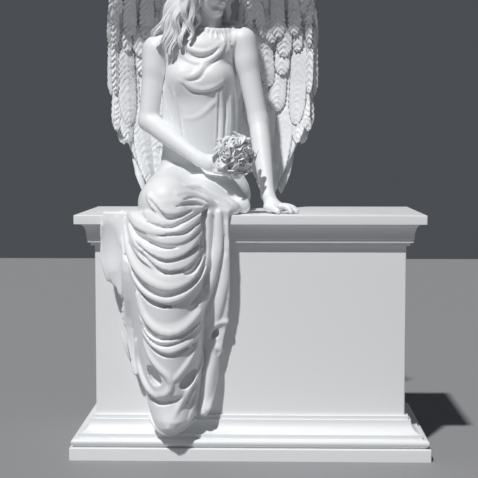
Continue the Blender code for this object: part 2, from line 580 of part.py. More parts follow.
# Creases between them, in pixels: (radius, points)
CREASES = [
    (1.6, [(133, 210), (141, 216), (149, 219)]),
    (2.6, [(150, 200), (157, 210), (167, 218), (180, 216), (192, 211)]),
    (2.4, [(146, 222), (158, 227), (172, 228), (184, 222), (200, 213)]),
    (1.6, [(158, 236), (172, 235), (186, 233), (199, 223)]),
    (2.8, [(129, 222), (136, 235), (150, 243), (165, 248), (172, 247)]),
    (2.2, [(136, 242), (150, 256), (165, 261), (180, 258), (199, 245)]),
    (2.6, [(140, 252), (150, 264), (162, 272), (174, 272), (184, 270)]),
    (2.4, [(184, 275), (193, 271), (202, 258)]),
    (3.2, [(125, 255), (131, 267), (141, 279), (152, 290), (163, 295), (173, 294), (186, 289),
           (198, 279), (205, 266)]),
    (3, [(139, 292), (150, 301), (160, 305), (168, 307), (178, 303), (190, 299)]),
    (3.5, [(213, 232), (212, 262), (208, 282), (201, 299), (192, 305)]),
    (2.6, [(203, 210), (202, 222), (202.5, 240), (203, 255)]),
    (2, [(224, 240), (223, 262), (219, 285), (213, 308), (207, 326), (203, 345), (202, 370)]),
    (1.8, [(141, 322), (148, 333), (157, 339), (168, 339), (185, 335), (200, 322)]),
    (1.4, [(145, 334), (155, 344), (166, 346), (177, 343), (188, 337)]),
    (2, [(148, 343), (157, 352), (168, 356), (180, 352), (195, 343)]),
    (4.6, [(152, 373), (156, 379), (160, 386)]),
    (4.5, [(192, 376), (184, 384), (173, 395)]),
    (4, [(214, 335), (219, 331)]),
    (1.8, [(125, 254), (125.5, 280), (124, 303), (119, 316)]),
    (1.6, [(195, 386), (188, 402), (181, 420)]),
    (2.4, [(142, 386), (150, 396), (159, 403), (170, 402), (181, 398)]),
    (1.8, [(190, 183), (205, 187), (219, 194), (231, 203)]),
    (1.7, [(192, 190), (207, 194), (217, 202)]),
    (1.7, [(182, 200), (197, 198), (208, 203)]),
    (2.2, [(176, 207), (189, 204), (203, 206)]),
    (1.5, [(131, 204), (139, 205), (148, 213)]),
    (1.9, [(184, 50), (191, 55), (201, 57), (211, 54), (219, 48)]),
    (1.6, [(224, 44), (219, 53), (211, 60), (204, 66), (200, 73), (194, 78), (184, 79)]),
    (1.5, [(182, 84), (191, 91), (203, 93), (216, 90), (223, 85)]),
    (1.8, [(226, 84), (226, 110), (225, 140)]),
    (1.6, [(234, 90), (234.5, 115), (234, 138)]),
    (1, [(230, 40), (232, 54), (236, 68)]),
]


def line_of_sight(pixel):
    """Points above the seat along the ray through a pixel of the photograph."""
    right, down = (pixel[0] - PHOTO_MIDDLE) / PHOTO_FOCAL, (pixel[1] - PHOTO_MIDDLE) / PHOTO_FOCAL
    ahead = math.cos(PHOTO_PITCH) - down * math.sin(PHOTO_PITCH)
    up = -math.sin(PHOTO_PITCH) - down * math.cos(PHOTO_PITCH)
    ray = turned(math.degrees(PHOTO_YAW), 0.0) @ np.array((right, ahead, up))
    return np.array(PHOTO_EYE) + SIGHT[:, None] * ray / ray[1]


def drawn_on(field, stroke):
    """A stroke's points on the stone, and the size of a pixel there."""
    points = []
    for pixel in stroke:
        sight = line_of_sight(pixel)
        depths = field.sample(sight)
        inside = np.flatnonzero(depths < 0.0)
        points.append(sight[inside[0] if len(inside) else np.argmin(depths)])
    points = np.array(points)
    return points, (points[:, 1].mean() - PHOTO_EYE[1]) / PHOTO_FOCAL


SWAG_FACE = (0.0, -0.9, 0.42)
FRONT_FACE = (0.0, -1.0, 0.1)
FOLD_POINTS = 12


def add_cloth(field):
    """Draws the folds and creases on the stone as it is, then adds the folds and cuts the creases."""
    folds = []
    for table, face in ((MANTLE_FOLDS, SWAG_FACE), (LAP_FOLDS, SWAG_FACE), (GOWN_FOLDS, FRONT_FACE)):
        folds += [(drawn_on(field, stroke), radius, flatness, face) for radius, flatness, stroke in table]
    creases = [(drawn_on(field, stroke), radius) for radius, stroke in CREASES]
    for (points, pixel), radius, flatness, face in folds:
        radii = swell(FOLD_POINTS, radius * pixel, radius * pixel * 0.6)
        field.chain(smooth_line(points, FOLD_POINTS), radii, blend=0.005, flatten=flatness, face=face)
    for (points, pixel), radius in creases:
        radii = swell(FOLD_POINTS, radius * pixel, radius * pixel * 0.3)
        field.chain(smooth_line(points, FOLD_POINTS), radii, blend=0.004, away=True)


# Wings: outline at heights above the seat, as (height, inner edge, outer edge, distance behind), the edges
# measured from the wings' middle line
WING_MIDDLE = -0.145
WING_ROWS = [
    (0.962, 0.178, 0.218, -0.004),
    (0.945, 0.155, 0.250, 0.014),
    (0.900, 0.134, 0.288, 0.056),
    (0.840, 0.122, 0.320, 0.106),
    (0.760, 0.112, 0.347, 0.155),
    (0.680, 0.098, 0.370, 0.193),
    (0.590, 0.078, 0.383, 0.211),
    (0.460, 0.066, 0.376, 0.214),
    (0.380, 0.068, 0.361, 0.210),
    (0.290, 0.084, 0.336, 0.205),
    (0.200, 0.112, 0.300, 0.200),
    (0.110, 0.150, 0.254, 0.194),
    (0.040, 0.178, 0.226, 0.190),
]
WING_THICKNESS = 0.028
WING_CURL = 0.052
WING_TOP = 0.962
WING_TIP = 0.036
WING_EDGE = 0.010
# Feathers, as (across at the root, height there, across at the tip, height there, half width, how far it
# stands proud)
FEATHERS = [
    (0.10, 0.300, 0.42, 0.050, 0.026, 0.004),
    (0.35, 0.360, 0.60, 0.075, 0.028, 0.006),
    (0.60, 0.420, 0.86, 0.175, 0.028, 0.006),
    (0.80, 0.520, 0.96, 0.285, 0.026, 0.008),
    (0.10, 0.520, 0.22, 0.330, 0.028, 0.010),
    (0.38, 0.540, 0.48, 0.355, 0.030, 0.012),
    (0.72, 0.600, 0.83, 0.300, 0.034, 0.014),
    (0.12, 0.660, 0.18, 0.490, 0.026, 0.016),
    (0.40, 0.680, 0.44, 0.485, 0.028, 0.018),
    (0.68, 0.720, 0.70, 0.500, 0.026, 0.018),
    (0.92, 0.760, 0.95, 0.545, 0.020, 0.018),
    (0.15, 0.780, 0.20, 0.610, 0.026, 0.022),
    (0.45, 0.800, 0.50, 0.605, 0.028, 0.024),
    (0.75, 0.830, 0.78, 0.640, 0.026, 0.024),
    (0.25, 0.890, 0.28, 0.730, 0.026, 0.026),
    (0.60, 0.900, 0.62, 0.735, 0.028, 0.026),
    (0.88, 0.900, 0.90, 0.740, 0.020, 0.024),
]
FEATHER_SHARES = (0.0, 0.25, 0.5, 0.75, 1.0)
FEATHER_SWELL = (0.6, 0.85, 1.0, 0.95, 0.5)
FEATHER_SINK = 0.004


def wing_behind(hand, x, height):
    """How far behind the seat's middle line the wing's middle sheet lies."""
    inner, outer, behind = along(WING_ROWS, height)
    across = np.clip(((x - WING_MIDDLE) * hand - inner) / (outer - inner), 0.0, 1.0)
    return behind - WING_CURL * (2.0 * across - 1.0) ** 2


def wing_point(hand, across, height, lift):
    """A point on a wing: across from its inner to its outer edge, lift towards the front."""
    inner, outer, _ = [float(v) for v in along(WING_ROWS, height)]
    x = WING_MIDDLE + hand * (inner + (outer - inner) * across)
    return np.array((x, float(wing_behind(hand, x, height)) - lift, height))


def add_wing(field, hand):
    """One wing: a hollow sheet, its leading edge, and feathers before and behind."""
    edge = WING_MIDDLE + hand * 0.41
    low_x, high_x = sorted((WING_MIDDLE + hand * 0.03, edge))
    cut, (x, y, z) = field.window((low_x, -0.12, 0.0), (high_x, 0.30, 0.99))
    inner, outer, _ = along(WING_ROWS, z)
    across = (x - WING_MIDDLE) * hand
    sides = np.maximum(np.maximum(inner - across, across - outer), np.maximum(z - WING_TOP, WING_TIP - z))
    sheet = np.abs(y - wing_behind(hand, x, z)) - WING_THICKNESS / 2
    rounded = np.hypot(np.maximum(sheet + WING_EDGE, 0), np.maximum(sides + WING_EDGE, 0)) - WING_EDGE
    field.join(cut, np.maximum(rounded, np.minimum(sheet, sides) - WING_EDGE).astype(np.float32), 0.02)
    for root_across, root, tip_across, tip, half, proud in FEATHERS:
        for face in (1, -1):
            spine = []
            for share in FEATHER_SHARES:
                across_here = root_across + (tip_across - root_across) * share
                lift = WING_THICKNESS / 2 - FEATHER_SINK + proud * (0.5 + 0.5 * share)
                spine.append(wing_point(hand, across_here, root + (tip - root) * share, face * lift))
            field.chain(spine, [half * share for share in FEATHER_SWELL], blend=0.003, flatten=0.26)
    lead = [(0.30, 0.950), (0.70, 0.935), (0.95, 0.880), (0.98, 0.780), (0.98, 0.680), (0.97, 0.560)]
    outer_edge = [wing_point(hand, share, height, 0.004) for share, height in lead]
    field.chain(outer_edge, (0.016, 0.020, 0.020, 0.018, 0.015, 0.010), blend=0.01)
    shoulder = [(0.30, 0.950), (0.04, 0.860), (0.0, 0.720), (0.0, 0.580), (0.06, 0.470)]
    inner_edge = [wing_point(hand, share, height, 0.006) for share, height in shoulder]
    field.chain(inner_edge, (0.016, 0.022, 0.028, 0.032, 0.030), blend=0.02)


def add_wing_roots(field):
    """The stone between the shoulder blades and both wings, and the gown's back."""
    for hand in (1, -1):
        field.ball((WING_MIDDLE + hand * 0.070, 0.118, 0.520), (0.052, 0.085, 0.130), blend=0.05)
    field.ball((WING_MIDDLE - 0.020, 0.100, 0.300), (0.105, 0.085, 0.260), blend=0.05)
    for x in (-0.27, -0.215, -0.16, -0.105, -0.055):
        pleat = [(x * 0.8 - 0.033, 0.175, 0.330), (x, 0.178, 0.150), (x * 1.08 + 0.013, 0.190, 0.008)]
        field.chain(pleat, (0.014, 0.026, 0.030), blend=0.012)


def add_bouquet(field):
    """A bunch of blossoms with a few leaves."""
    field.ball(BOUQUET, BOUQUET_RADII, blend=0.01)
    golden = math.pi * (3.0 - math.sqrt(5.0))
    for i in range(BLOSSOMS):
        up = 1.0 - 2.0 * (i + 0.5) / BLOSSOMS
        level = math.sqrt(1.0 - up * up)
        way = np.array((math.cos(golden * i) * level, math.sin(golden * i) * level, up))
        field.ball(np.array(BOUQUET) + way * np.array(BOUQUET_RADII), (BLOSSOM_RADIUS,) * 3, blend=0.003)


# Fusing

def mesh_from(name, corners, faces):
    """A mesh in the stone's own frame, from points above the seat."""
    made = bpy.data.meshes.new(name)
    placed = corners * LIFE + np.array((0.0, 0.0, SEAT))
    made.vertices.add(len(placed))
    made.vertices.foreach_set("co", placed.astype(np.float32).ravel())
    made.loops.add(faces.size)
    made.loops.foreach_set("vertex_index", faces.astype(np.int32).ravel())
    made.polygons.add(len(faces))
    made.polygons.foreach_set("loop_start", np.arange(0, faces.size, 4, dtype=np.int32))
    made.update(calc_edges=True)
    made.validate()
    return made


def evaluated_mesh(stone):
    """The stone's mesh with its modifiers done."""
    graph = bpy.context.evaluated_depsgraph_get()
    return bpy.data.meshes.new_from_object(stone.evaluated_get(graph))


def keep_largest_shell(mesh):
    """Deletes every loose island but the largest."""
    form = bmesh.new()
    form.from_mesh(mesh)
    form.verts.ensure_lookup_table()
    seen = set()
    shells = []
    for start in form.verts:
        if start.index in seen:
            continue
        shell, waiting = [], [start]
        seen.add(start.index)
        while waiting:
            vertex = waiting.pop()
            shell.append(vertex)
            for edge in vertex.link_edges:
                other = edge.other_vert(vertex)
                if other.index not in seen:
                    seen.add(other.index)
                    waiting.append(other)
        shells.append(shell)
    shells.sort(key=len)
    for shell in shells[:-1]:
        bmesh.ops.delete(form, geom=shell, context="VERTS")
    form.to_mesh(mesh)
    form.free()


def triangulate(mesh):
    """Splits the cut faces into triangles, in the first way whose diagonals double no edge."""
    for way in ("FIXED", "LONG_EDGE", "BEAUTY"):
        form = bmesh.new()
        form.from_mesh(mesh)
        bmesh.ops.triangulate(form, faces=form.faces, quad_method=way)
        single = all(len(edge.link_faces) == 2 for edge in form.edges)
        if single:
            form.to_mesh(mesh)
        form.free()
        if single:
            return


def with_modifier(stone, kind, **settings):
    """Runs one modifier on a stone and keeps its result."""
    step = stone.modifiers.new(kind.title(), kind)
    for name, value in settings.items():
        setattr(step, name, value)
    result = evaluated_mesh(stone)
    stone.modifiers.clear()
    stone.data = result


def bedded(stone, material):
    """Cuts away what lies inside the pedestal, and a joint's gap round it."""
    outline = grown(pedestal_outline(), JOINT_GAP)
    outline[0] = (outline[0][0], -0.05)
    cutter = moulded_stone("pedestal_cutter", outline, 0.0, material)
    with_modifier(stone, "BOOLEAN", operation="DIFFERENCE", solver="EXACT", object=cutter)
    bpy.data.objects.remove(cutter)
    keep_largest_shell(stone.data)
    triangulate(stone.data)
    stone.data.shade_smooth()
    stone.data.set_sharp_from_angle(angle=math.radians(50))


def carve_angel(step):
    """The seated angel with wings, bouquet and mantle as one field."""
    field = Field((-0.56, -0.52, -0.76), (0.27, 0.30, 1.00), step)
    add_lap(field)
    add_mantle(field)
    add_trunk(field)
    add_cloth(field)
    add_arms(field)
    add_head(field)
    add_hair(field)
    add_wing_roots(field)
    add_wing(field, 1)
    add_wing(field, -1)
    add_bouquet(field)
    return field


def build_angel(material):
    """The seated angel, carved as one stone."""
    corners, quads = carve_angel(CARVING_STEP).skin()
    angel = link("angel", mesh_from("angel", corners, quads), material)
    with_modifier(angel, "REMESH", mode="VOXEL", voxel_size=CARVING_STEP)
    with_modifier(angel, "SMOOTH", factor=0.5, iterations=1)
    keep_largest_shell(angel.data)
    faces = sum(len(face.vertices) - 2 for face in angel.data.polygons)
    with_modifier(angel, "DECIMATE", ratio=ANGEL_FACES / faces)
    bedded(angel, material)
    return angel


def main():
    """Builds the four stones."""
    clear_scene()
    moulded_stone("base", base_profile(), 0.0, marble("base"))
    die = [(0.0, JOINT_GAP), (0.0, DIE_HEIGHT)]
    moulded_stone("die", die, BASE_HEIGHT, marble("die"))
    cap = [(outward, up + (JOINT_GAP if up == 0.0 else 0.0)) for outward, up in cap_profile()]
    moulded_stone("cap", cap, BASE_HEIGHT + DIE_HEIGHT, marble("cap"))
    build_angel(marble("angel"))


main()
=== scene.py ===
"""Looks of the angel headstone: a moulded marble pedestal and the angel, carved in one stone, who sits on it.

Metres, +Z up, front towards -Y. The figure's points are metres above the seat, which is the cap's top.
"""

import logging
import math
from dataclasses import dataclass, field
from enum import Enum

import bmesh
import bpy
import numpy as np
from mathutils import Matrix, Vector


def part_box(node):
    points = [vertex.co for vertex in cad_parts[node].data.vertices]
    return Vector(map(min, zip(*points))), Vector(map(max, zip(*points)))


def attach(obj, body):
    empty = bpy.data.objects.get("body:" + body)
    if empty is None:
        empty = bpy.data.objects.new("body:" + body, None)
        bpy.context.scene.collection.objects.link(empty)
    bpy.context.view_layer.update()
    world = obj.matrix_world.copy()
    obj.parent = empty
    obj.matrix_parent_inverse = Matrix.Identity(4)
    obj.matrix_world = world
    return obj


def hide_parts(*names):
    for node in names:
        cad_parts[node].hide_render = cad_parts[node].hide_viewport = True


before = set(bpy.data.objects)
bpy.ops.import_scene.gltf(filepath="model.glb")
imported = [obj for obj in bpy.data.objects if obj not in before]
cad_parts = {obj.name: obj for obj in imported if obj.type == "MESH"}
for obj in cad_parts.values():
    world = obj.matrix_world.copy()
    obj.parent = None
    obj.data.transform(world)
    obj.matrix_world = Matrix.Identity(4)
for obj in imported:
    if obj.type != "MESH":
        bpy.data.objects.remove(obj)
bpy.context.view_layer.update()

log = logging.getLogger("angel_headstone")

Point = tuple[float, float, float]
Pixel = tuple[float, float]
Box = tuple[Point, Point]

SEAT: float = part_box("cap")[1].z
CAP_FACE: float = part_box("cap")[0].y
DIE_FACE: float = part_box("die")[0].y
FASCIA: float = 0.031
BURIED: float = 0.005
FAR: float = 1.0


# Curves


def swell(count: int, middle: float, ends: float) -> np.ndarray:
    """Radii of a fold that is full in the middle and thin at its ends.

    Args:
        count: How many radii there are.
        middle: The radius half way along.
        ends: The radius at both ends.

    Returns:
        The radii from one end to the other.
    """
    rise = [math.sin(math.pi * i / (count - 1)) ** 0.7 for i in range(count)]
    return ends + (middle - ends) * np.array(rise)


def spread(values: tuple[float, ...], count: int) -> np.ndarray:
    """Values spread evenly over a number of places.

    Args:
        values: The values.
        count: How many places there are.

    Returns:
        A value for each place.
    """
    return np.interp(np.linspace(0, 1, count), np.linspace(0, 1, len(values)), values)


def smooth_line(points: list[Point] | np.ndarray, count: int) -> np.ndarray:
    """A smooth curve through points.

    Args:
        points: The points it goes through.
        count: How many points are read from it.

    Returns:
        The curve's points, one a row.
    """
    given = np.array(points, float)
    padded = np.vstack([2 * given[0] - given[1], given, 2 * given[-1] - given[-2]])
    spans = len(given) - 1
    place = spans * np.arange(count) / (count - 1)
    start = np.minimum(place.astype(int), spans - 1)
    t = (place - start)[:, None]
    a, b, c, d = (padded[start + k] for k in range(4))
    return 0.5 * (2 * b + (c - a) * t + (2 * a - 5 * b + 4 * c - d) * t**2 + (3 * b - a - 3 * c + d) * t**3)


def turned(turn: float, lean: float, roll: float = 0.0) -> np.ndarray:
    """A rotation by roll about Y, then by lean about X, then by turn about Z.

    Args:
        turn: The turn, in degrees.
        lean: The lean, in degrees.
        roll: The roll, in degrees.

    Returns:
        The rotation's matrix.
    """
    t, n, r = (math.radians(angle) for angle in (turn, lean, roll))
    about_z = np.array([[math.cos(t), -math.sin(t), 0], [math.sin(t), math.cos(t), 0], [0, 0, 1]])
    about_x = np.array([[1, 0, 0], [0, math.cos(n), -math.sin(n)], [0, math.sin(n), math.cos(n)]])
    about_y = np.array([[math.cos(r), 0, math.sin(r)], [0, 1, 0], [-math.sin(r), 0, math.cos(r)]])
    return about_z @ about_x @ about_y


def along(table: list[tuple[float, ...]], height: float | np.ndarray) -> list[np.ndarray]:
    """A table's columns at a height, between its rows, which run downwards."""
    rows = np.array(table)[::-1]
    return [np.interp(height, rows[:, 0], rows[:, k]) for k in range(1, rows.shape[1])]


# Carving


class Block:
    """A block of marble as a regular grid of distances to the carving's skin, negative inside it."""

    def __init__(self, box: Box, step: float) -> None:
        """Starts an empty block.

        Args:
            box: Its lowest and highest corner above the seat.
            step: The grid's spacing.
        """
        self.step = step
        self.low = np.array(box[0], float)
        counts = np.ceil((np.array(box[1]) - self.low) / step).astype(int) + 1
        self.axes = [(self.low[k] + step * np.arange(counts[k])).astype(np.float32) for k in range(3)]
        self.values = np.full(counts, FAR, np.float32)

    def window(
        self, low: Point | np.ndarray, high: Point | np.ndarray
    ) -> tuple[tuple[slice, ...], list[np.ndarray]]:
        """The part of the grid in a box.

        Args:
            low: The box's lowest corner.
            high: The box's highest corner.

        Returns:
            The grid's slices there, and its places along X, Y and Z.
        """
        cut, places = [], []
        for k in range(3):
            last = len(self.axes[k])
            start = int(np.clip((low[k] - self.low[k]) / self.step, 0, last - 1))
            stop = int(np.clip((high[k] - self.low[k]) / self.step + 2, start + 1, last))
            shape = [1, 1, 1]
            shape[k] = -1
            cut.append(slice(start, stop))
            places.append(self.axes[k][start:stop].reshape(shape))
        return tuple(cut), places

    def join(self, cut: tuple[slice, ...], distance: np.ndarray, blend: float, away: bool = False) -> None:
        """Adds a form, or cuts it away.

        Args:
            cut: The grid's slices near it.
            distance: Distances to it there.
            blend: The width over which its seam is rounded.
            away: Whether it is cut away.
        """
        sign = -1.0 if away else 1.0
        old = sign * self.values[cut]
        near = np.maximum(blend - np.abs(old - distance), 0.0)
        self.values[cut] = sign * (np.minimum(old, distance) - near**2 / (4.0 * blend))

    def ball(
        self,
        centre: Point | np.ndarray,
        radii: Point,
        axes: np.ndarray | None = None,
        blend: float = 0.02,
        away: bool = False,
    ) -> None:
        """Joins or cuts away an ellipsoid.

        Args:
            centre: Its middle.
            radii: Its half widths along its own axes.
            axes: Its own axes, one a column.
            blend: The width of its seam.
            away: Whether it is cut away.
        """
        reach = max(radii) + 2 * blend
        centre = np.array(centre, float)
        cut, places = self.window(centre - reach, centre + reach)
        axes = np.eye(3) if axes is None else axes
        local = [sum((places[k] - centre[k]) * axes[k][i] for k in range(3)) for i in range(3)]
        near = np.sqrt(sum((local[i] / radii[i]) ** 2 for i in range(3)))
        slope = np.sqrt(sum((local[i] / radii[i] ** 2) ** 2 for i in range(3))) + 1e-6
        self.join(cut, near * (near - 1.0) / slope, blend, away)

    def chain(
        self,
        points: list[Point] | np.ndarray,
        radii: list[float] | tuple[float, ...] | np.ndarray,
        blend: float = 0.006,
        flatten: float = 1.0,
        face: Point = (0.0, -1.0, 0.0),
        away: bool = False,
    ) -> None:
        """Joins or cuts away a round rod along points.

        Args:
            points: The rod's middle line.
            radii: Its radius at each point.
            blend: The width of its seam.
            flatten: How far its section is squeezed along face.
            face: The direction it is squeezed along.
            away: Whether it is cut away.
        """
        line = np.array(points, float)
        radii = np.array(radii, float)
        normal = np.array(face, float) / np.linalg.norm(face)
        weight = 1.0 / flatten**2 - 1.0
        reach = radii.max() + 2 * blend
        cut, places = self.window(line.min(axis=0) - reach, line.max(axis=0) + reach)
        nearest = None
        for a, b, radius_a, radius_b in zip(line[:-1], line[1:], radii[:-1], radii[1:]):
            run = (b - a).astype(np.float32)
            off = [places[k] - np.float32(a[k]) for k in range(3)]
            run_up = float(run @ normal)
            length = float(run @ run) + weight * run_up**2 + 1e-9
            up = sum(off[k] * np.float32(normal[k]) for k in range(3)) if weight else np.float32(0.0)
            ahead = sum(off[k] * run[k] for k in range(3)) + np.float32(weight * run_up) * up
            share = np.clip(ahead / np.float32(length), 0.0, 1.0)
            square = sum(off[k] ** 2 for k in range(3)) + np.float32(weight) * up**2
            square = square - share * (2 * ahead - share * np.float32(length))
            distance = np.sqrt(np.maximum(square, 0.0)) - (radius_a + (radius_b - radius_a) * share)
            nearest = distance if nearest is None else np.minimum(nearest, distance)
        self.join(cut, nearest.astype(np.float32), blend, away)

    def sample(self, points: np.ndarray) -> np.ndarray:
        """Distances at points, read between the grid's own.

        Args:
            points: The points, one a row.

        Returns:
            The distances.
        """
        place = (points - self.low) / self.step
        cell = np.clip(place.astype(int), 0, np.array(self.values.shape) - 2)
        share = place - cell
        total = np.zeros(len(points))
        for corner in ((i, j, k) for i in (0, 1) for j in (0, 1) for k in (0, 1)):
            weights = np.where(corner, share, 1.0 - share).prod(axis=1)
            total = total + weights * self.values[tuple((cell + corner).T)]
        return total

    def skin(self) -> tuple[np.ndarray, np.ndarray]:
        """The carving's skin: one corner in each cell that it crosses, and the quads between them.

        Returns:
            The corners above the seat, and the quads' corner numbers.
        """
        inside = self.values < 0
        near = [slice(None, -1), slice(1, None)]
        eight = (inside[near[i], near[j], near[k]] for i in (0, 1) for j in (0, 1) for k in (0, 1))
        filled = sum(corner.astype(np.uint8) for corner in eight)
        crossed = (filled > 0) & (filled < 8)
        cells = np.argwhere(crossed)
        number = np.full(crossed.shape, -1, np.int32)
        number[crossed] = np.arange(len(cells))
        place, count = np.zeros((len(cells), 3)), np.zeros(len(cells))
        unit = np.eye(3, dtype=int)
        for axis in range(3):
            side, other = [k for k in range(3) if k != axis]
            for i, j in ((0, 0), (0, 1), (1, 0), (1, 1)):
                start = i * unit[side] + j * unit[other]
                end = start + unit[axis]
                a = self.values[tuple((cells + start).T)]
                b = self.values[tuple((cells + end).T)]
                hit = (a < 0) != (b < 0)
                share = np.where(hit, a / np.where(hit, a - b, 1.0), 0.0)
                place[hit] += start + share[hit][:, None] * (end - start)
                count += hit
        corners = self.low + self.step * (cells + place / count[:, None])
        quads = []
        for axis in range(3):
            low_side, high_side = [slice(None)] * 3, [slice(None)] * 3
            low_side[axis], high_side[axis] = slice(None, -1), slice(1, None)
            leaving = inside[tuple(low_side)]
            edges = np.argwhere(leaving != inside[tuple(high_side)])
            first, second = (axis + 1) % 3, (axis + 2) % 3
            edges = edges[(edges[:, first] > 0) & (edges[:, second] > 0)]
            within = (edges[:, first] < crossed.shape[first]) & (edges[:, second] < crossed.shape[second])
            edges = edges[within]
            shifts = (unit[first] + unit[second], unit[second], 0 * unit[axis], unit[first])
            ring = np.stack([number[tuple((edges - shift).T)] for shift in shifts], axis=1)
            outward = leaving[tuple(edges.T)]
            ring[~outward] = ring[~outward][:, ::-1]
            quads.append(ring)
        return corners, np.vstack(quads)


# Meshes


def placed(name: str, data: bpy.types.ID | None) -> bpy.types.Object:
    """An object put in the scene.

    Args:
        name: The object's name.
        data: Its mesh, lamp or lens.

    Returns:
        The object.
    """
    made = bpy.data.objects.new(name, data)
    bpy.context.scene.collection.objects.link(made)
    return made


def finished(name: str, form: bmesh.types.BMesh) -> bpy.types.Mesh:
    """A smooth mesh of a form, which is used up.

    Args:
        name: The mesh's name.
        form: The form.

    Returns:
        The mesh.
    """
    mesh = bpy.data.meshes.new(name)
    form.to_mesh(mesh)
    form.free()
    mesh.shade_smooth()
    return mesh


def merged(name: str, *meshes: bpy.types.Mesh) -> bpy.types.Mesh:
    """Several meshes as one.

    Args:
        name: The new mesh's name.
        *meshes: The meshes.

    Returns:
        The new mesh.
    """
    form = bmesh.new()
    for mesh in meshes:
        form.from_mesh(mesh)
    return finished(name, form)


def store(mesh: bpy.types.Mesh, name: str, values: np.ndarray) -> None:
    """Gives each of a mesh's points a number or a vector.

    Args:
        mesh: The mesh.
        name: The attribute's name.
        values: A number or a vector for each point.
    """
    kind, member = ("FLOAT_VECTOR", "vector") if values.ndim == 2 else ("FLOAT", "value")
    layer = mesh.attributes.new(name, kind, "POINT")
    layer.data.foreach_set(member, values.astype(np.float32).ravel())


def relaxed(corners: np.ndarray, quads: np.ndarray) -> np.ndarray:
    """The corners after each has moved half way to its neighbours' middle.

    Args:
        corners: The corners, one a row.
        quads: The quads' corner numbers.

    Returns:
        The moved corners.
    """
    starts = quads.ravel()
    ends = np.roll(quads, -1, axis=1).ravel()
    total = np.zeros_like(corners)
    for axis in range(3):
        total[:, axis] = np.bincount(starts, corners[ends, axis], len(corners))
        total[:, axis] += np.bincount(ends, corners[starts, axis], len(corners))
    count = np.bincount(starts, minlength=len(corners)) + np.bincount(ends, minlength=len(corners))
    return 0.5 * corners + 0.5 * total / np.maximum(count, 1)[:, None]


def buried(corners: np.ndarray) -> np.ndarray:
    """Which points lie well inside the pedestal.

    Args:
        corners: The points above the seat, one a row.

    Returns:
        For each point, whether it does.
    """
    _, y, z = corners.T
    in_fascia = (z < -BURIED) & (z > BURIED - FASCIA) & (y > CAP_FACE + BURIED)
    return in_fascia | (z < -BURIED) & (y > DIE_FACE + BURIED)


def quad_mesh(name: str, corners: np.ndarray, quads: np.ndarray) -> bpy.types.Mesh:
    """A smooth mesh of quads.

    Args:
        name: The mesh's name.
        corners: Corners above the seat, of which some may be unused.
        quads: The quads' corner numbers.

    Returns:
        The mesh, in its place.
    """
    used, numbers = np.unique(quads, return_inverse=True)
    mesh = bpy.data.meshes.new(name)
    mesh.vertices.add(len(used))
    mesh.vertices.foreach_set("co", (corners[used] + (0.0, 0.0, SEAT)).astype(np.float32).ravel())
    mesh.loops.add(quads.size)
    mesh.loops.foreach_set("vertex_index", numbers.astype(np.int32).ravel())
    mesh.polygons.add(len(quads))
    mesh.polygons.foreach_set("loop_start", np.arange(0, quads.size, 4, dtype=np.int32))
    mesh.update(calc_edges=True)
    mesh.validate()
    mesh.shade_smooth()
    return mesh


def shown_skin(block: Block) -> tuple[np.ndarray, np.ndarray]:
    """A block's smoothed skin, without what the pedestal hides.

    Args:
        block: The carved block.

    Returns:
        The corners above the seat, and the quads' corner numbers.
    """
    corners, quads = block.skin()
    corners = relaxed(corners, quads)
    return corners, quads[~buried(corners)[quads].all(axis=1)]


# Node trees


class Value:
    """A node's output socket that takes part in arithmetic, each operation adding its Math node."""

    def __init__(self, graph: "Graph", socket: bpy.types.NodeSocket) -> None:
        """Wraps a socket of a graph."""
        self.graph = graph
        self.socket = socket

    def __add__(self, other: "Value | float") -> "Value":
        """The sum."""
        return self.graph.math("ADD", self, other)

    def __sub__(self, other: "Value | float") -> "Value":
        """The difference."""
        return self.graph.math("SUBTRACT", self, other)

    def __rsub__(self, other: float) -> "Value":
        """The difference, from a number."""
        return self.graph.math("SUBTRACT", other, self)

    def __mul__(self, other: "Value | float") -> "Value":
        """The product."""
        return self.graph.math("MULTIPLY", self, other)

    def __truediv__(self, other: "Value | float") -> "Value":
        """The quotient."""
        return self.graph.math("DIVIDE", self, other)

    def __pow__(self, other: float) -> "Value":
        """The power."""
        return self.graph.math("POWER", self, other)


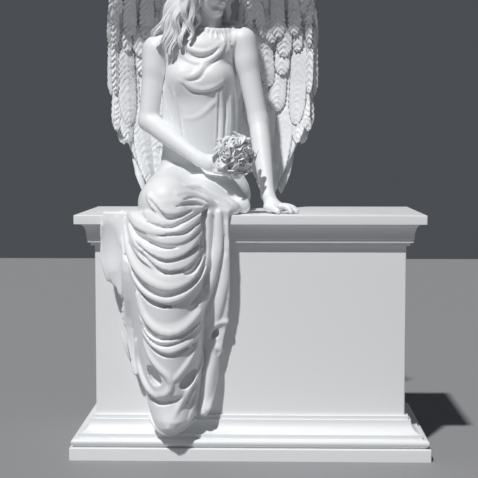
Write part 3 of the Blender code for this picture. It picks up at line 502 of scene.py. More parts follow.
@dataclass
class Graph:
    """A node tree, of a material or of geometry, that is written as expressions."""

    tree: bpy.types.NodeTree

    def node(self, kind: str, settings: dict[str, object] | None = None, **inputs: object) -> bpy.types.Node:
        """Adds a node.

        Args:
            kind: The node's type.
            settings: Its own settings, which are set first.
            **inputs: Values or links for its sockets, by names with underscores or by in_ and a number.

        Returns:
            The node.
        """
        made = self.tree.nodes.new(kind)
        for name, value in (settings or {}).items():
            setattr(made, name, value)
        for name, value in inputs.items():
            by_number = name.startswith("in_")
            self.feed(made.inputs[int(name[3:]) if by_number else name.replace("_", " ")], value)
        return made

    def feed(self, socket: bpy.types.NodeSocket, value: object) -> None:
        """Gives an input its value.

        Args:
            socket: The input.
            value: A value or a socket to link, or what to set it to.
        """
        source = value.socket if isinstance(value, Value) else value
        if isinstance(source, bpy.types.NodeSocket):
            self.tree.links.new(source, socket)
        else:
            socket.default_value = source

    def math(self, operation: str, *values: "Value | float") -> Value:
        """A Math node of up to three values."""
        inputs = {f"in_{i}": value for i, value in enumerate(values)}
        return Value(self, self.node("ShaderNodeMath", {"operation": operation}, **inputs).outputs[0])

    def above_zero(self, value: Value) -> Value:
        """The value, or zero where it is less."""
        return self.math("MAXIMUM", value, 0.0)

    def noise(self, place: bpy.types.NodeSocket, scale: float, detail: float) -> Value:
        """Smooth noise between 0 and 1."""
        made = self.node("ShaderNodeTexNoise", Vector=place, Scale=scale, Detail=detail)
        return Value(self, made.outputs["Fac"])

    def stored(self, name: str, kind: str = "FLOAT") -> Value:
        """What the geometry stores under a name."""
        made = self.node("GeometryNodeInputNamedAttribute", {"data_type": kind}, Name=name)
        return Value(self, made.outputs["Attribute"])

    def open(self, sockets: dict[str, str]) -> bpy.types.NodeOutputs:
        """Gives a geometry tree its named inputs.

        Args:
            sockets: The inputs' names and kinds, beside the geometry itself.

        Returns:
            The inputs.
        """
        for label, kind in {"Geometry": "Geometry", **sockets, "Material": "Material"}.items():
            self.tree.interface.new_socket(label, in_out="INPUT", socket_type=f"NodeSocket{kind}")
        self.tree.interface.new_socket("Geometry", in_out="OUTPUT", socket_type="NodeSocketGeometry")
        return self.node("NodeGroupInput").outputs

    def close(self, geometry: bpy.types.NodeSocket, material: bpy.types.NodeSocket) -> None:
        """Ends a geometry tree, with its instances made real and its material set.

        Args:
            geometry: What the tree made.
            material: The input that holds its material.
        """
        real = self.node("GeometryNodeRealizeInstances", Geometry=geometry)
        dressed = self.node("GeometryNodeSetMaterial", Geometry=real.outputs["Geometry"], Material=material)
        self.node("NodeGroupOutput", Geometry=dressed.outputs["Geometry"])


def grown(name: str, points: bpy.types.Mesh, tree: bpy.types.NodeTree, **values: object) -> bpy.types.Mesh:
    """What a geometry tree grows on a mesh, dressed as the angel.

    Args:
        name: The new mesh's name.
        points: The mesh that the tree starts from.
        tree: The tree.
        **values: Values for the tree's named inputs, with underscores.

    Returns:
        A plain mesh.
    """
    holder = placed(name, points)
    modifier = holder.modifiers.new(tree.name, "NODES")
    modifier.node_group = tree
    values["Material"] = Stone.ANGEL.value.material()
    for item in tree.interface.items_tree:
        label = item.name.replace(" ", "_")
        if item.item_type == "SOCKET" and item.in_out == "INPUT" and label in values:
            modifier[item.identifier] = values[label]
    graph = bpy.context.evaluated_depsgraph_get()
    mesh = bpy.data.meshes.new_from_object(holder.evaluated_get(graph))
    mesh.name = name
    holder.modifiers.clear()
    bpy.data.objects.remove(holder)
    return mesh


# Finish


@dataclass(frozen=True)
class Marble:
    """Honed white marble with faint cool veins, soft mottling and a fine grain."""

    name: str
    colour: Point
    vein: Point = (0.66, 0.69, 0.72)
    vein_strength: float = 0.22
    vein_scale: float = 3.1
    vein_thinness: float = 16.0
    drift: float = 0.35
    drift_scale: float = 2.3
    mottle_scale: float = 38.0
    mottle_colour: float = 0.14
    mottle_shine: float = 0.18
    roughness: float = 0.42
    grain: float = 0.0006
    grain_scale: float = 420.0

    def material(self) -> bpy.types.Material:
        """The marble's material, made once for each name.

        Returns:
            The material.
        """
        if self.name in bpy.data.materials:
            return bpy.data.materials[self.name]
        material = bpy.data.materials.new(self.name)
        material.use_nodes = True
        graph = Graph(material.node_tree)
        shader = material.node_tree.nodes["Principled BSDF"]
        place = graph.node("ShaderNodeTexCoord").outputs["Object"]
        drift = graph.node("ShaderNodeTexNoise", Vector=place, Scale=self.drift_scale, Detail=4.0,
                           Roughness=0.6)
        bent = graph.node("ShaderNodeVectorMath", {"operation": "MULTIPLY_ADD"}, in_0=drift.outputs["Color"],
                          in_1=(self.drift,) * 3, in_2=place)
        line = graph.math("ABSOLUTE", graph.noise(bent.outputs[0], self.vein_scale, 8.0) - 0.5)
        line = graph.above_zero(1.0 - line * self.vein_thinness)
        vein = graph.math("SMOOTH_MIN", 1.0, line, 0.1) ** 2.0
        mottle = graph.noise(place, self.mottle_scale, 5.0) - 0.5
        share = vein * self.vein_strength + mottle * self.mottle_colour
        share = graph.above_zero(graph.math("MINIMUM", share, 1.0))
        mix = graph.node("ShaderNodeMix", {"data_type": "RGBA"}, Factor=share, in_6=(*self.colour, 1.0),
                         in_7=(*self.vein, 1.0))
        graph.feed(shader.inputs["Base Color"], mix.outputs[2])
        graph.feed(shader.inputs["Roughness"], mottle * self.mottle_shine + self.roughness)
        fine = graph.noise(place, self.grain_scale, 3.0)
        bump = graph.node("ShaderNodeBump", Height=fine, Strength=0.35, Distance=self.grain)
        graph.feed(shader.inputs["Normal"], bump.outputs["Normal"])
        graph.feed(shader.inputs["IOR"], 1.5)
        return material


class Stone(Enum):
    """The headstone's stones, each with the finish of its slot."""

    BASE = Marble("base_marble", (0.80, 0.82, 0.84))
    DIE = Marble("die_marble", (0.80, 0.82, 0.85))
    CAP = Marble("cap_marble", (0.81, 0.83, 0.85))
    ANGEL = Marble("angel_marble", (0.84, 0.86, 0.88), vein_strength=0.10)

    @property
    def node(self) -> str:
        """The stone's CAD node."""
        return self.name.lower()


def show(mesh: bpy.types.Mesh, stone: Stone = Stone.ANGEL) -> None:
    """Puts a finished mesh in the scene as a piece of a stone.

    Args:
        mesh: The piece's mesh, in its place.
        stone: The stone that it belongs to.
    """
    mesh.materials.clear()
    mesh.materials.append(stone.value.material())
    piece = placed(mesh.name, mesh)
    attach(piece, "root")
    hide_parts(stone.node)
    triangles = sum(len(face.vertices) - 2 for face in mesh.polygons)
    log.info("%s: %d triangles", mesh.name, triangles)


# View and light


@dataclass(frozen=True)
class Photograph:
    """The photograph's view: where its eye stands and what its pixels see."""

    size: int = 478
    focal: float = 1204.0
    eye: Point = (0.060, -4.295, 1.058)
    look_down: float = 93.0
    look_aside: float = 29.0
    sensor: float = 36.0
    nearest: float = 3.75
    farthest: float = 4.62
    stride: float = 0.002

    @property
    def aim(self) -> tuple[float, float]:
        """How far the view looks down and how far to the side, in radians."""
        return math.atan(self.look_down / self.focal), math.atan(self.look_aside / self.focal)

    def sight(self, pixel: Pixel) -> np.ndarray:
        """Points along the ray through a pixel, from before the figure to behind it.

        Args:
            pixel: The pixel.

        Returns:
            The points above the seat, one a row.
        """
        pitch, yaw = self.aim
        right, down = ((value - self.size / 2) / self.focal for value in pixel)
        ray = turned(math.degrees(yaw), 0.0) @ np.array((
            right,
            math.cos(pitch) - down * math.sin(pitch),
            -math.sin(pitch) - down * math.cos(pitch),
        ))
        ahead = np.arange(self.nearest, self.farthest, self.stride)[:, None]
        return np.array(self.eye) - (0.0, 0.0, SEAT) + ahead * ray / ray[1]

    def camera(self) -> None:
        """Puts the scene's camera at the photograph's place."""
        lens = bpy.data.cameras.new("photograph_view")
        lens.sensor_width = self.sensor
        lens.lens = self.sensor * self.focal / self.size
        camera = placed("photograph_view", lens)
        camera.location = self.eye
        pitch, yaw = self.aim
        camera.rotation_euler = (math.pi / 2 - pitch, 0.0, yaw)
        bpy.context.scene.camera = camera


PHOTOGRAPH = Photograph()


@dataclass
class Studio:
    """A pale floor, soft light from above her right, and a faint fill."""

    floor_size: float = 14.0
    floor_colour: Point = (0.30, 0.30, 0.31)
    floor_roughness: float = 0.9
    sky: Point = (0.50, 0.54, 0.60)
    sky_strength: float = 0.14
    sun_from: Point = (-0.28, -0.62, 0.95)
    sun_strength: float = 3.05
    sun_softness: float = 2.5

    def build(self) -> None:
        """Lays the floor and hangs the lights."""
        mesh = bpy.data.meshes.new("floor")
        half = self.floor_size / 2
        corners = [(-half, -half, 0), (half, -half, 0), (half, half, 0), (-half, half, 0)]
        mesh.from_pydata(corners, [], [(0, 1, 2, 3)])
        material = bpy.data.materials.new("floor_paper")
        material.use_nodes = True
        shader = material.node_tree.nodes["Principled BSDF"]
        shader.inputs["Base Color"].default_value = (*self.floor_colour, 1.0)
        shader.inputs["Roughness"].default_value = self.floor_roughness
        mesh.materials.append(material)
        floor = placed("floor", mesh)
        lamp = bpy.data.lights.new("sun", "SUN")
        lamp.energy = self.sun_strength
        lamp.angle = math.radians(self.sun_softness)
        sun = placed("sun", lamp)
        sun.rotation_euler = Vector(self.sun_from).to_track_quat("Z", "Y").to_euler()
        world = bpy.data.worlds.new("studio")
        world.use_nodes = True
        background = world.node_tree.nodes["Background"]
        background.inputs["Color"].default_value = (*self.sky, 1.0)
        background.inputs["Strength"].default_value = self.sky_strength
        bpy.context.scene.world = world
        bpy.context.scene.view_settings.view_transform = "Standard"
        log.info("studio: floor, sun and sky")


# Pedestal: profiles are points as (outward from the die, up)

Profile = list[tuple[float, float]]


def arc(middle: Pixel, radii: Pixel, start: float, end: float, steps: int = 14) -> Profile:
    """Points of an elliptical arc in a moulding's profile.

    Args:
        middle: Its centre.
        radii: Its half widths outward and up.
        start: The angle it starts at, in degrees.
        end: The angle it ends at.
        steps: How many lines it has.

    Returns:
        The points.
    """
    angles = [math.radians(start + (end - start) * i / steps) for i in range(steps + 1)]
    return [(middle[0] + radii[0] * math.cos(a), middle[1] + radii[1] * math.sin(a)) for a in angles]


@dataclass
class Pedestal:
    """Base, die and cap with eased corners: the base and cap moulded all round, the die plain."""

    gap: float = 0.0003
    plinth: float = 0.042
    torus: float = 0.024
    torus_set: float = 0.005
    torus_reach: float = 0.011
    shoulder: float = 0.016
    foot: float = 0.026
    sweep_set: float = 0.014
    top_fillet: float = 0.012
    fascia_reach: float = 0.022
    arris: float = 0.003
    hair: float = 0.0005
    corner: float = 0.004
    corner_steps: int = 4
    sharp: float = 28.0

    def base_profile(self, height: float, out: float) -> Profile:
        """The base's profile from the ground up.

        Args:
            height: The base's height.
            out: How far it stands out from the die.

        Returns:
            The profile.
        """
        torus_low = self.plinth + self.torus_set
        torus_high = torus_low + self.torus
        shoulder, foot = out - self.shoulder, out - self.foot
        sweep_low, sweep_high = torus_high + self.sweep_set, height - self.sweep_set
        fillet = self.top_fillet
        points = [(out, 0.0), (out, self.plinth - self.arris)]
        points += arc((out - self.arris, self.plinth - self.arris), (self.arris, self.arris), 10, 90, 4)
        points += [(shoulder, self.plinth)]
        points += arc((shoulder, (torus_low + torus_high) / 2), (self.torus_reach, self.torus / 2), -90, 90)
        points += [(foot, torus_high + self.hair)]
        points += arc((foot, sweep_high), (foot - 0.020, sweep_high - sweep_low), -90, -180)
        points += [(fillet, sweep_high + self.hair), (fillet, height - 0.0015), (fillet - 0.0015, height)]
        return points

    def cap_profile(self, height: float, out: float) -> Profile:
        """The cap's profile from its bed up.

        Args:
            height: The cap's height.
            out: How far it stands out from the die.

        Returns:
            The profile.
        """
        soffit = height - FASCIA
        cove = out - self.fascia_reach
        points = [(0.013, self.gap), (0.013, 0.011), (0.023, 0.012), (0.023, 0.022)]
        points += arc((cove, 0.024), (cove - 0.025, soffit - 0.028), 180, 90)
        points += [(cove, soffit), (out, soffit + self.hair)]
        points += arc((out - self.arris, height - self.arris), (self.arris, self.arris), 0, 90, 5)
        return points

    def stone(self, stone: Stone, profile: Profile, bed: float) -> None:
        """Builds a rectangular stone with a profile that runs round it.

        Args:
            stone: Which stone it is.
            profile: Its profile, from below up.
            bed: The height of its underside.
        """
        low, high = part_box("die")
        form = bmesh.new()
        rings = []
        corners = [(high.x, high.y, 0), (low.x, high.y, 90), (low.x, low.y, 180), (high.x, low.y, 270)]
        for outward, up in profile:
            ring = []
            for x, y, start in corners:
                for step in range(self.corner_steps + 1):
                    angle = math.radians(start + 90 * step / self.corner_steps)
                    inset_x = math.copysign(1.0, x) * (outward - self.corner) + self.corner * math.cos(angle)
                    inset_y = math.copysign(1.0, y) * (outward - self.corner) + self.corner * math.sin(angle)
                    ring.append(form.verts.new((x + inset_x, y + inset_y, bed + up)))
            rings.append(ring)
        for below, above in zip(rings, rings[1:]):
            for i in range(len(below)):
                k = (i + 1) % len(below)
                form.faces.new((below[i], below[k], above[k], above[i]))
        form.faces.new(rings[0][::-1])
        form.faces.new(rings[-1])
        bmesh.ops.recalc_face_normals(form, faces=form.faces)
        mesh = finished(f"{stone.node}_stone", form)
        mesh.set_sharp_from_angle(angle=math.radians(self.sharp))
        show(mesh, stone)

    def build(self) -> None:
        """Builds the three stones at the sizes of the CAD nodes."""
        (_, base_high), (low, high), (_, cap_high) = (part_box(name) for name in ("base", "die", "cap"))
        self.stone(Stone.BASE, self.base_profile(base_high.z, base_high.x - high.x), 0.0)
        self.stone(Stone.DIE, [(0.0, 0.0), (0.0, high.z - low.z)], low.z)
        self.stone(Stone.CAP, self.cap_profile(cap_high.z - high.z, cap_high.x - high.x), high.z)


# Drapery: folds as (radius, flatness, points) and creases as (radius, points), drawn in photograph pixels

Fold = tuple[float, float, list[Pixel]]
Crease = tuple[float, list[Pixel]]
Drawn = tuple[np.ndarray, np.ndarray, float]

MANTLE_FOLDS: list[Fold] = [
    (5, 0.6, [(149, 197), (155, 206), (165, 211), (178, 211), (190, 208), (201, 206)]),
    (4.5, 0.6, [(147, 216), (154, 219), (163, 222), (175, 220), (187, 214), (200, 210)]),
    (5, 0.6, [(131, 218), (138, 225), (150, 230), (165, 232), (180, 229), (192, 222), (201, 213)]),
    (4.5, 0.6, [(150, 237), (165, 241), (180, 240), (192, 232), (201, 222)]),
    (5, 0.6, [(130, 226), (136, 242), (146, 250), (158, 255), (170, 256), (183, 251), (193, 242),
              (201, 231)]),
    (4.5, 0.6, [(131, 240), (140, 254), (150, 262), (160, 267), (170, 268), (183, 265), (193, 257),
                (201, 246)]),
    (6.5, 0.6, [(126, 228), (129, 246), (135, 262), (145, 275), (157, 283), (169, 286), (182, 282),
                (193, 273), (202, 256)]),
    (5, 0.7, [(133, 272), (139, 284), (148, 293), (158, 298), (168, 300), (180, 296), (190, 288),
              (198, 277), (203, 262), (206, 245), (208, 228), (209, 213)]),
    (5.5, 0.7, [(138, 294), (143, 311), (152, 325), (164, 332), (176, 331), (187, 323), (198, 309),
                (207, 292), (213.5, 272), (217.5, 252), (218.5, 232), (218.5, 213)]),
    (2.8, 0.7, [(141, 320), (150, 335), (162, 341), (173, 341), (186, 335), (199, 323)]),
    (3.6, 0.7, [(144, 333), (154, 345), (168, 351), (180, 347), (191, 340), (202, 329)]),
    (3.2, 0.8, [(145, 344), (151, 358), (160, 369), (168, 377), (171, 386), (166, 394), (158, 396)]),
    (4.5, 0.7, [(137, 340), (139, 358), (143, 374), (149, 388), (158, 397)]),
    (3, 0.8, [(197, 344), (190, 358), (182, 370), (174, 380)]),
    (3, 0.8, [(203, 350), (200, 366), (190, 386), (179, 406), (168, 428)]),
    (3, 0.8, [(198, 384), (194, 400), (188, 420)]),
    (3, 0.8, [(203, 384), (202, 400), (201, 414)]),
    (2.2, 0.7, [(150, 418), (156, 428), (167, 434), (181, 430), (196, 419)]),
    (5.2, 1.0, [(208.5, 213), (208, 230), (206, 250), (203, 266), (198, 279), (190, 289)]),
    (6.3, 1.0, [(218.5, 213), (218.5, 236), (217, 256), (212, 277), (205, 295), (198, 306)]),
    (5, 0.5, [(225, 256), (224, 280), (220, 302), (217, 320)]),
    (2.6, 1.0, [(227, 322), (219, 323), (212, 328), (208, 337), (210, 345), (217, 349), (222, 351)]),
    (8, 1.1, [(209, 344), (211, 360), (208, 380), (206, 398), (204, 412)]),
    (5, 0.8, [(213, 352), (214, 370), (211, 390), (208, 409)]),
    (3.5, 0.7, [(102, 226), (102, 250), (108, 280)]),
    (4.5, 0.4, [(117, 217), (119, 232), (121, 250), (122, 272)]),
    (6.5, 0.5, [(122, 214), (124, 236), (127, 262), (129, 290), (132, 320), (133, 350), (136, 372)]),
    (3.4, 0.7, [(119.5, 238), (120.5, 258), (121, 278), (120, 298)]),
    (2, 0.6, [(122, 332), (125, 344), (129, 358)]),
]
LAP_FOLDS: list[Fold] = [
    (6, 0.6, [(192, 177), (207, 179), (223, 186), (240, 197)]),
    (4.5, 0.6, [(184, 186), (200, 188), (214, 194), (226, 202)]),
    (4, 0.6, [(176, 194), (194, 193), (206, 198), (213, 204)]),
    (4, 0.6, [(165, 201), (180, 200), (195, 200), (204, 205)]),
    (3.5, 0.6, [(205, 170), (220, 173), (234, 184), (246, 199)]),
]
GOWN_FOLDS: list[Fold] = [
    (2.4, 0.8, [(185, 45), (193, 50), (203, 52), (213, 49), (221, 42)]),
    (2.6, 0.8, [(180, 52), (190, 61), (201, 63), (211, 59), (220, 51), (224, 42), (225, 32)]),
    (2.6, 0.8, [(222, 50), (212, 58), (204, 64), (199, 71), (193, 76), (184, 77)]),
    (3.2, 0.7, [(180, 80), (190, 86), (201, 89), (212, 87), (222, 81)]),
    (3, 0.5, [(184, 118), (196, 117), (207, 109), (217, 98)]),
    (2, 0.8, [(221, 90), (222, 115), (221, 140)]),
    (1.8, 0.8, [(230, 98), (230, 118), (229, 140)]),
    (1.4, 0.8, [(237, 100), (237, 120), (237, 136)]),
    (1.8, 0.8, [(164, 86), (167, 112), (168, 142)]),
    (2, 0.8, [(173, 88), (178, 115), (184, 142)]),
    (1.6, 0.8, [(227, 33), (229, 50), (233, 64), (237, 74)]),
    (1.5, 0.8, [(237, 27), (234, 40), (235, 53), (238, 69), (241, 80)]),
    (1.3, 0.8, [(163, 56), (160, 68), (159, 80), (161, 92)]),
    (1.4, 0.8, [(217, 88), (217, 112), (215, 140)]),
    (1.5, 0.8, [(226, 96), (226, 120), (225, 142)]),
]
MANTLE_CREASES: list[Crease] = [
    (2.6, [(150, 200), (157, 210), (167, 218), (180, 216), (192, 211)]),
    (2.4, [(146, 222), (158, 227), (172, 228), (184, 222), (200, 213)]),
    (1.6, [(158, 236), (172, 235), (186, 233), (199, 223)]),
    (2.8, [(129, 222), (136, 235), (150, 243), (163, 248), (177, 248)]),
    (2.2, [(136, 242), (150, 256), (165, 261), (180, 258), (199, 245)]),
    (2.6, [(140, 252), (150, 264), (162, 272), (174, 272), (184, 270)]),
    (2.4, [(184, 275), (193, 271), (202, 258)]),
    (3.2, [(125, 255), (131, 268), (140, 281), (151, 291), (163, 295), (173, 294), (186, 289),
           (198, 279), (205, 266)]),
    (2.5, [(213.5, 216), (213, 238), (211, 260), (207, 279), (199, 295), (190, 305)]),
    (2.8, [(203, 210), (202, 222), (201.5, 238), (200, 252)]),
    (2.2, [(224, 236), (223, 252), (220, 268), (215, 288), (208, 309), (204, 326), (203, 345), (202, 370)]),
    (1.8, [(141, 322), (148, 333), (157, 339), (168, 339), (185, 335), (200, 322)]),
    (1.4, [(145, 334), (155, 344), (166, 346), (177, 343), (188, 337)]),
    (2, [(148, 343), (157, 352), (168, 356), (180, 352), (195, 343)]),
    (2.0, [(196, 383), (191, 394), (186, 404)]),
    (2.4, [(142, 386), (150, 396), (159, 403), (170, 402), (181, 398)]),
    (1.8, [(190, 183), (205, 187), (219, 194), (231, 203)]),
    (1.7, [(192, 190), (207, 194), (217, 202)]),
    (1.7, [(182, 200), (197, 198), (208, 203)]),
    (2.2, [(176, 207), (189, 204), (203, 206)]),
    (2.6, [(108.5, 289), (111, 295), (114, 301)]),
    (2, [(115, 301), (118, 296), (120, 300)]),
    (2, [(155, 205), (159, 213), (167, 218), (176, 217)]),
]
# Pockets sunk deep in the cloth, and shallow valleys
HOLLOWS: list[Crease] = [
    (9.5, [(152, 369), (157, 378), (162, 386)]),
    (8.0, [(193, 373), (185, 382), (176, 391)]),
    (5.6, [(211, 338), (215, 334), (219, 331)]),
    (4.2, [(208, 208), (204, 212), (202.5, 219), (202, 228)]),
    (3.8, [(141, 293), (150, 301), (160, 305), (168, 307), (178, 303)]),
]
VALLEYS: list[Crease] = [
    (15, [(106, 216), (107, 232), (109, 252), (112, 272)]),
]
GOWN_CREASES: list[Crease] = [
    (1.9, [(184, 50), (191, 55), (201, 57), (211, 54), (219, 48)]),
    (1.6, [(226, 47), (221, 56), (213, 63), (206, 69), (202, 76), (196, 80), (186, 81)]),
    (1.5, [(182, 84), (191, 91), (203, 93), (216, 90), (223, 85)]),
    (2.3, [(226, 84), (226, 110), (225, 140)]),
    (2.1, [(234, 90), (234.5, 115), (234, 138)]),
    (1.6, [(219, 98), (219, 118), (218, 140)]),
    (1.5, [(169, 88), (171, 112), (173, 140)]),
    (1.4, [(163.5, 94), (164, 118), (165, 142)]),
    (1.4, [(178, 96), (181, 118), (184, 142)]),
    (1, [(230, 40), (232, 54), (236, 68)]),
]


@dataclass
class Folds:
    """Strokes that are drawn on a block and then added to it, or cut away."""

    strokes: list[Fold] | list[Crease]
    face: Point
    seam: float
    sink: float = 0.0
    slope: float = 0.0
    slope_seam: float = 0.014
    slope_lift: Point = (0.0, 0.25, 0.95)
    slope_flatness: float = 0.5
    ends: float = 0.55
    samples: int = 20
    away: bool = False

    def placed(self, block: Block, stroke: list[Pixel]) -> tuple[np.ndarray, float]:
        """A stroke's points on the stone.

        Args:
            block: The stone it is drawn on.
            stroke: Its points in the photograph's pixels.

        Returns:
            The points above the seat, and a pixel's size there.
        """
        points = []
        for pixel in stroke:
            sight = PHOTOGRAPH.sight(pixel)
            depths = block.sample(sight)
            inside = np.flatnonzero(depths < 0.0)
            points.append(sight[inside[0] if len(inside) else np.argmin(depths)])
        line = smooth_line(points, self.samples)
        return line, (line[:, 1].mean() - PHOTOGRAPH.eye[1]) / PHOTOGRAPH.focal

    def draw(self, block: Block) -> list[Drawn]:
        """Draws the strokes on the stone as it is, where one without a flatness is round.

        Args:
            block: The stone.

        Returns:
            The strokes' lines, radii and flatness.
        """
        drawn = []
        for radius, *flat, stroke in self.strokes:
            line, pixel = self.placed(block, stroke)
            size, flatness = radius * pixel, flat[0] if flat else 1.0
            sunk = line - self.sink * size * flatness * np.array(self.face)
            drawn.append((sunk, swell(self.samples, size, size * self.ends), flatness))
        return drawn

    def carve(self, block: Block, drawn: list[Drawn]) -> None:
        """Adds the drawn strokes to the stone, with a slope above each that lies level, or cuts them away.

        Args:
            block: The stone.
            drawn: The strokes.
        """
        for line, radii, _ in drawn if self.slope else ():
            way = np.gradient(line, axis=0)
            level = np.hypot(way[:, 0], way[:, 1]) / np.linalg.norm(way, axis=1)
            above = line + radii[:, None] * np.array(self.slope_lift)
            block.chain(above, radii * self.slope * level, self.slope_seam, self.slope_flatness, self.face)
        for line, radii, flatness in drawn:
            block.chain(line, radii, self.seam, flatness, self.face, self.away)


@dataclass
class Creases(Folds):
    """Creases that are cut between the folds."""

    face: Point = (0.0, -1.0, -0.25)
    seam: float = 0.003
    ends: float = 0.3
    away: bool = True


# Figure


@dataclass(frozen=True)
class Pose:
    """Where the figure's joints are."""

    right_shoulder: Point = (-0.338, 0.015, 0.572)
    left_shoulder: Point = (-0.031, 0.012, 0.601)
    right_elbow: Point = (-0.364, -0.015, 0.318)
    left_elbow: Point = (0.025, -0.020, 0.322)
    right_wrist: Point = (-0.172, -0.185, 0.184)
    left_wrist: Point = (0.060, -0.150, 0.060)
    head: Point = (-0.150, -0.030, 0.816)
    head_turn: float = 62.0
    head_nod: float = 20.0

    @property
    def head_axes(self) -> np.ndarray:
        """The head's own axes, one a column."""
        return turned(self.head_turn, self.head_nod)

    def on_head(self, side: float, ahead: float, up: float) -> np.ndarray:
        """A place of the head as a point above the seat."""
        return np.array(self.head) + self.head_axes @ np.array((side, -ahead, up))


POSE = Pose()


@dataclass
class Cloth:
    """The gown, the lap under it and the mantle that hangs over the seat's edge, carved as one."""

    step: float = 0.0039
    waist: float = 0.135
    box: Box = ((-0.56, -0.50, -0.745), (0.10, 0.235, 0.70))
    # Heights with the mantle's left edge, its right edge, and its rim, bulge, bulge's middle and half width
    left_edge: tuple[tuple[float, float], ...] = (
        (0.03, -0.490), (-0.10, -0.497), (-0.15, -0.491), (-0.19, -0.481), (-0.225, -0.468),
        (-0.240, -0.450), (-0.276, -0.428), (-0.338, -0.438), (-0.371, -0.435), (-0.420, -0.415),
        (-0.475, -0.405), (-0.534, -0.385), (-0.560, -0.362), (-0.632, -0.352), (-0.681, -0.336),
        (-0.707, -0.313), (-0.728, -0.285),
    )
    right_edge: tuple[tuple[float, float], ...] = (
        (0.03, -0.072), (-0.10, -0.068), (-0.27, -0.068), (-0.355, -0.075), (-0.440, -0.092),
        (-0.470, -0.098), (-0.510, -0.121), (-0.550, -0.121), (-0.600, -0.138), (-0.650, -0.155),
        (-0.665, -0.164), (-0.697, -0.214), (-0.728, -0.250),
    )
    depth: tuple[tuple[float, float, float, float, float], ...] = (
        (0.030, 0.010, 0.105, -0.280, 0.128),
        (-0.028, 0.018, 0.136, -0.284, 0.130),
        (-0.108, 0.018, 0.146, -0.284, 0.132),
        (-0.188, 0.014, 0.146, -0.280, 0.130),
        (-0.268, 0.004, 0.142, -0.276, 0.128),
        (-0.328, -0.006, 0.138, -0.274, 0.124),
        (-0.388, -0.016, 0.132, -0.272, 0.120),
        (-0.458, -0.020, 0.124, -0.268, 0.114),
        (-0.528, -0.020, 0.114, -0.264, 0.106),
        (-0.588, -0.018, 0.102, -0.260, 0.096),
        (-0.614, -0.014, 0.085, -0.259, 0.091),
        (-0.650, -0.006, 0.088, -0.258, 0.082),
        (-0.682, 0.002, 0.094, -0.258, 0.070),
        (-0.708, 0.010, 0.086, -0.262, 0.054),
        (-0.728, 0.016, 0.058, -0.266, 0.036),
    )
    tip: float = -0.724
    mantle_top: float = 0.012
    mantle_back: float = -0.12
    fullness: float = 0.6
    undercut: float = 0.55
    collar_points: int = 120
    collar_radius: float = 0.0085
    collar_lumps: tuple[float, float] = (0.0024, 0.0016)
    pleat_spacing: int = 3
    pleat_points: int = 6
    pleat_radii: tuple[float, float] = (0.0052, 0.0018)
    pleat_reach: float = 0.024
    pleat_lean: float = 0.006
    swag_face: Point = (0.0, -0.9, 0.42)
    front_face: Point = (0.0, -1.0, 0.1)
    block: Block = field(init=False)

    def lap(self) -> None:
        """Thighs under cloth: the right one to the seat's front edge, the left one folded to the side."""
        thigh = [(-0.250, 0.030, 0.070), (-0.274, -0.180, 0.056), (-0.277, -0.330, 0.040)]
        self.block.chain(thigh, (0.100, 0.094, 0.092), blend=0.03)
        folded = [(-0.150, 0.010, 0.060), (-0.110, -0.130, 0.052), (-0.034, -0.190, 0.028)]
        self.block.chain(folded, (0.098, 0.080, 0.034), blend=0.04)
        self.block.ball((-0.190, -0.180, 0.045), (0.110, 0.170, 0.078), blend=0.03)
        self.block.ball((-0.120, -0.255, 0.020), (0.085, 0.060, 0.045), blend=0.03)

    def mantle(self) -> None:
        """The hanging mantle's ground, from the seat's edge to the tip near the base."""
        cut, (x, y, z) = self.block.window((-0.55, -0.52, self.tip - 0.03), (-0.02, -0.10, 0.06))
        left, right = along(list(self.left_edge), z)[0], along(list(self.right_edge), z)[0]
        rim, bulge, middle, half = along(list(self.depth), z)
        share = np.clip(1.0 - ((x - middle) / half) ** 2, 0.0, 1.0)
        front = CAP_FACE - rim - (bulge - rim) * share**self.fullness
        depth = np.maximum((front - y) * 0.7, y - self.mantle_back)
        inset = np.maximum(y - CAP_FACE, 0.0) * self.undercut
        ends = np.maximum(z - self.mantle_top + 0.05 * inset, self.tip - z)
        sides = np.maximum(np.maximum(left + inset - x, x - right), ends)
        self.block.join(cut, np.maximum(depth, sides).astype(np.float32), 0.02)

    def trunk(self) -> None:
        """The trunk under its loose gown, with the bust and shoulders."""
        column = [
            (-0.190, 0.020, 0.060), (-0.184, 0.008, 0.220), (-0.182, 0.004, 0.400), (-0.182, 0.012, 0.520),
        ]
        self.block.chain(column, (0.150, 0.132, 0.134, 0.118), blend=0.03, flatten=0.68)
        self.block.ball((-0.190, 0.050, 0.070), (0.160, 0.140, 0.105), blend=0.04)
        self.block.ball((-0.105, 0.020, 0.055), (0.100, 0.120, 0.090), blend=0.04)
        yoke = [(-0.320, 0.016, 0.577), (-0.190, 0.020, 0.594), (-0.048, 0.0135, 0.6025)]
        self.block.chain(yoke, (0.0475, 0.054, 0.0475), blend=0.04)
        for x in (-0.232, -0.134):
            self.block.ball((x, -0.060, 0.468), (0.050, 0.046, 0.050), blend=0.06)
        self.block.ball((-0.172, -0.036, 0.572), (0.098, 0.050, 0.060), turned(0.0, -20.0), blend=0.03)

    def back(self) -> None:
        """The stone between the shoulder blades and both wings, and the pleats behind the hips."""
        for hand in (1, -1):
            self.block.ball((-0.145 + hand * 0.070, 0.118, 0.520), (0.052, 0.085, 0.130), blend=0.05)
        self.block.ball((-0.165, 0.100, 0.300), (0.105, 0.085, 0.260), blend=0.05)
        for x in (-0.27, -0.215, -0.16, -0.105, -0.055):
            pleat = [(x * 0.8 - 0.033, 0.175, 0.330), (x, 0.178, 0.150), (x * 1.08 + 0.013, 0.190, 0.008)]
            self.block.chain(pleat, (0.014, 0.026, 0.030), blend=0.012)

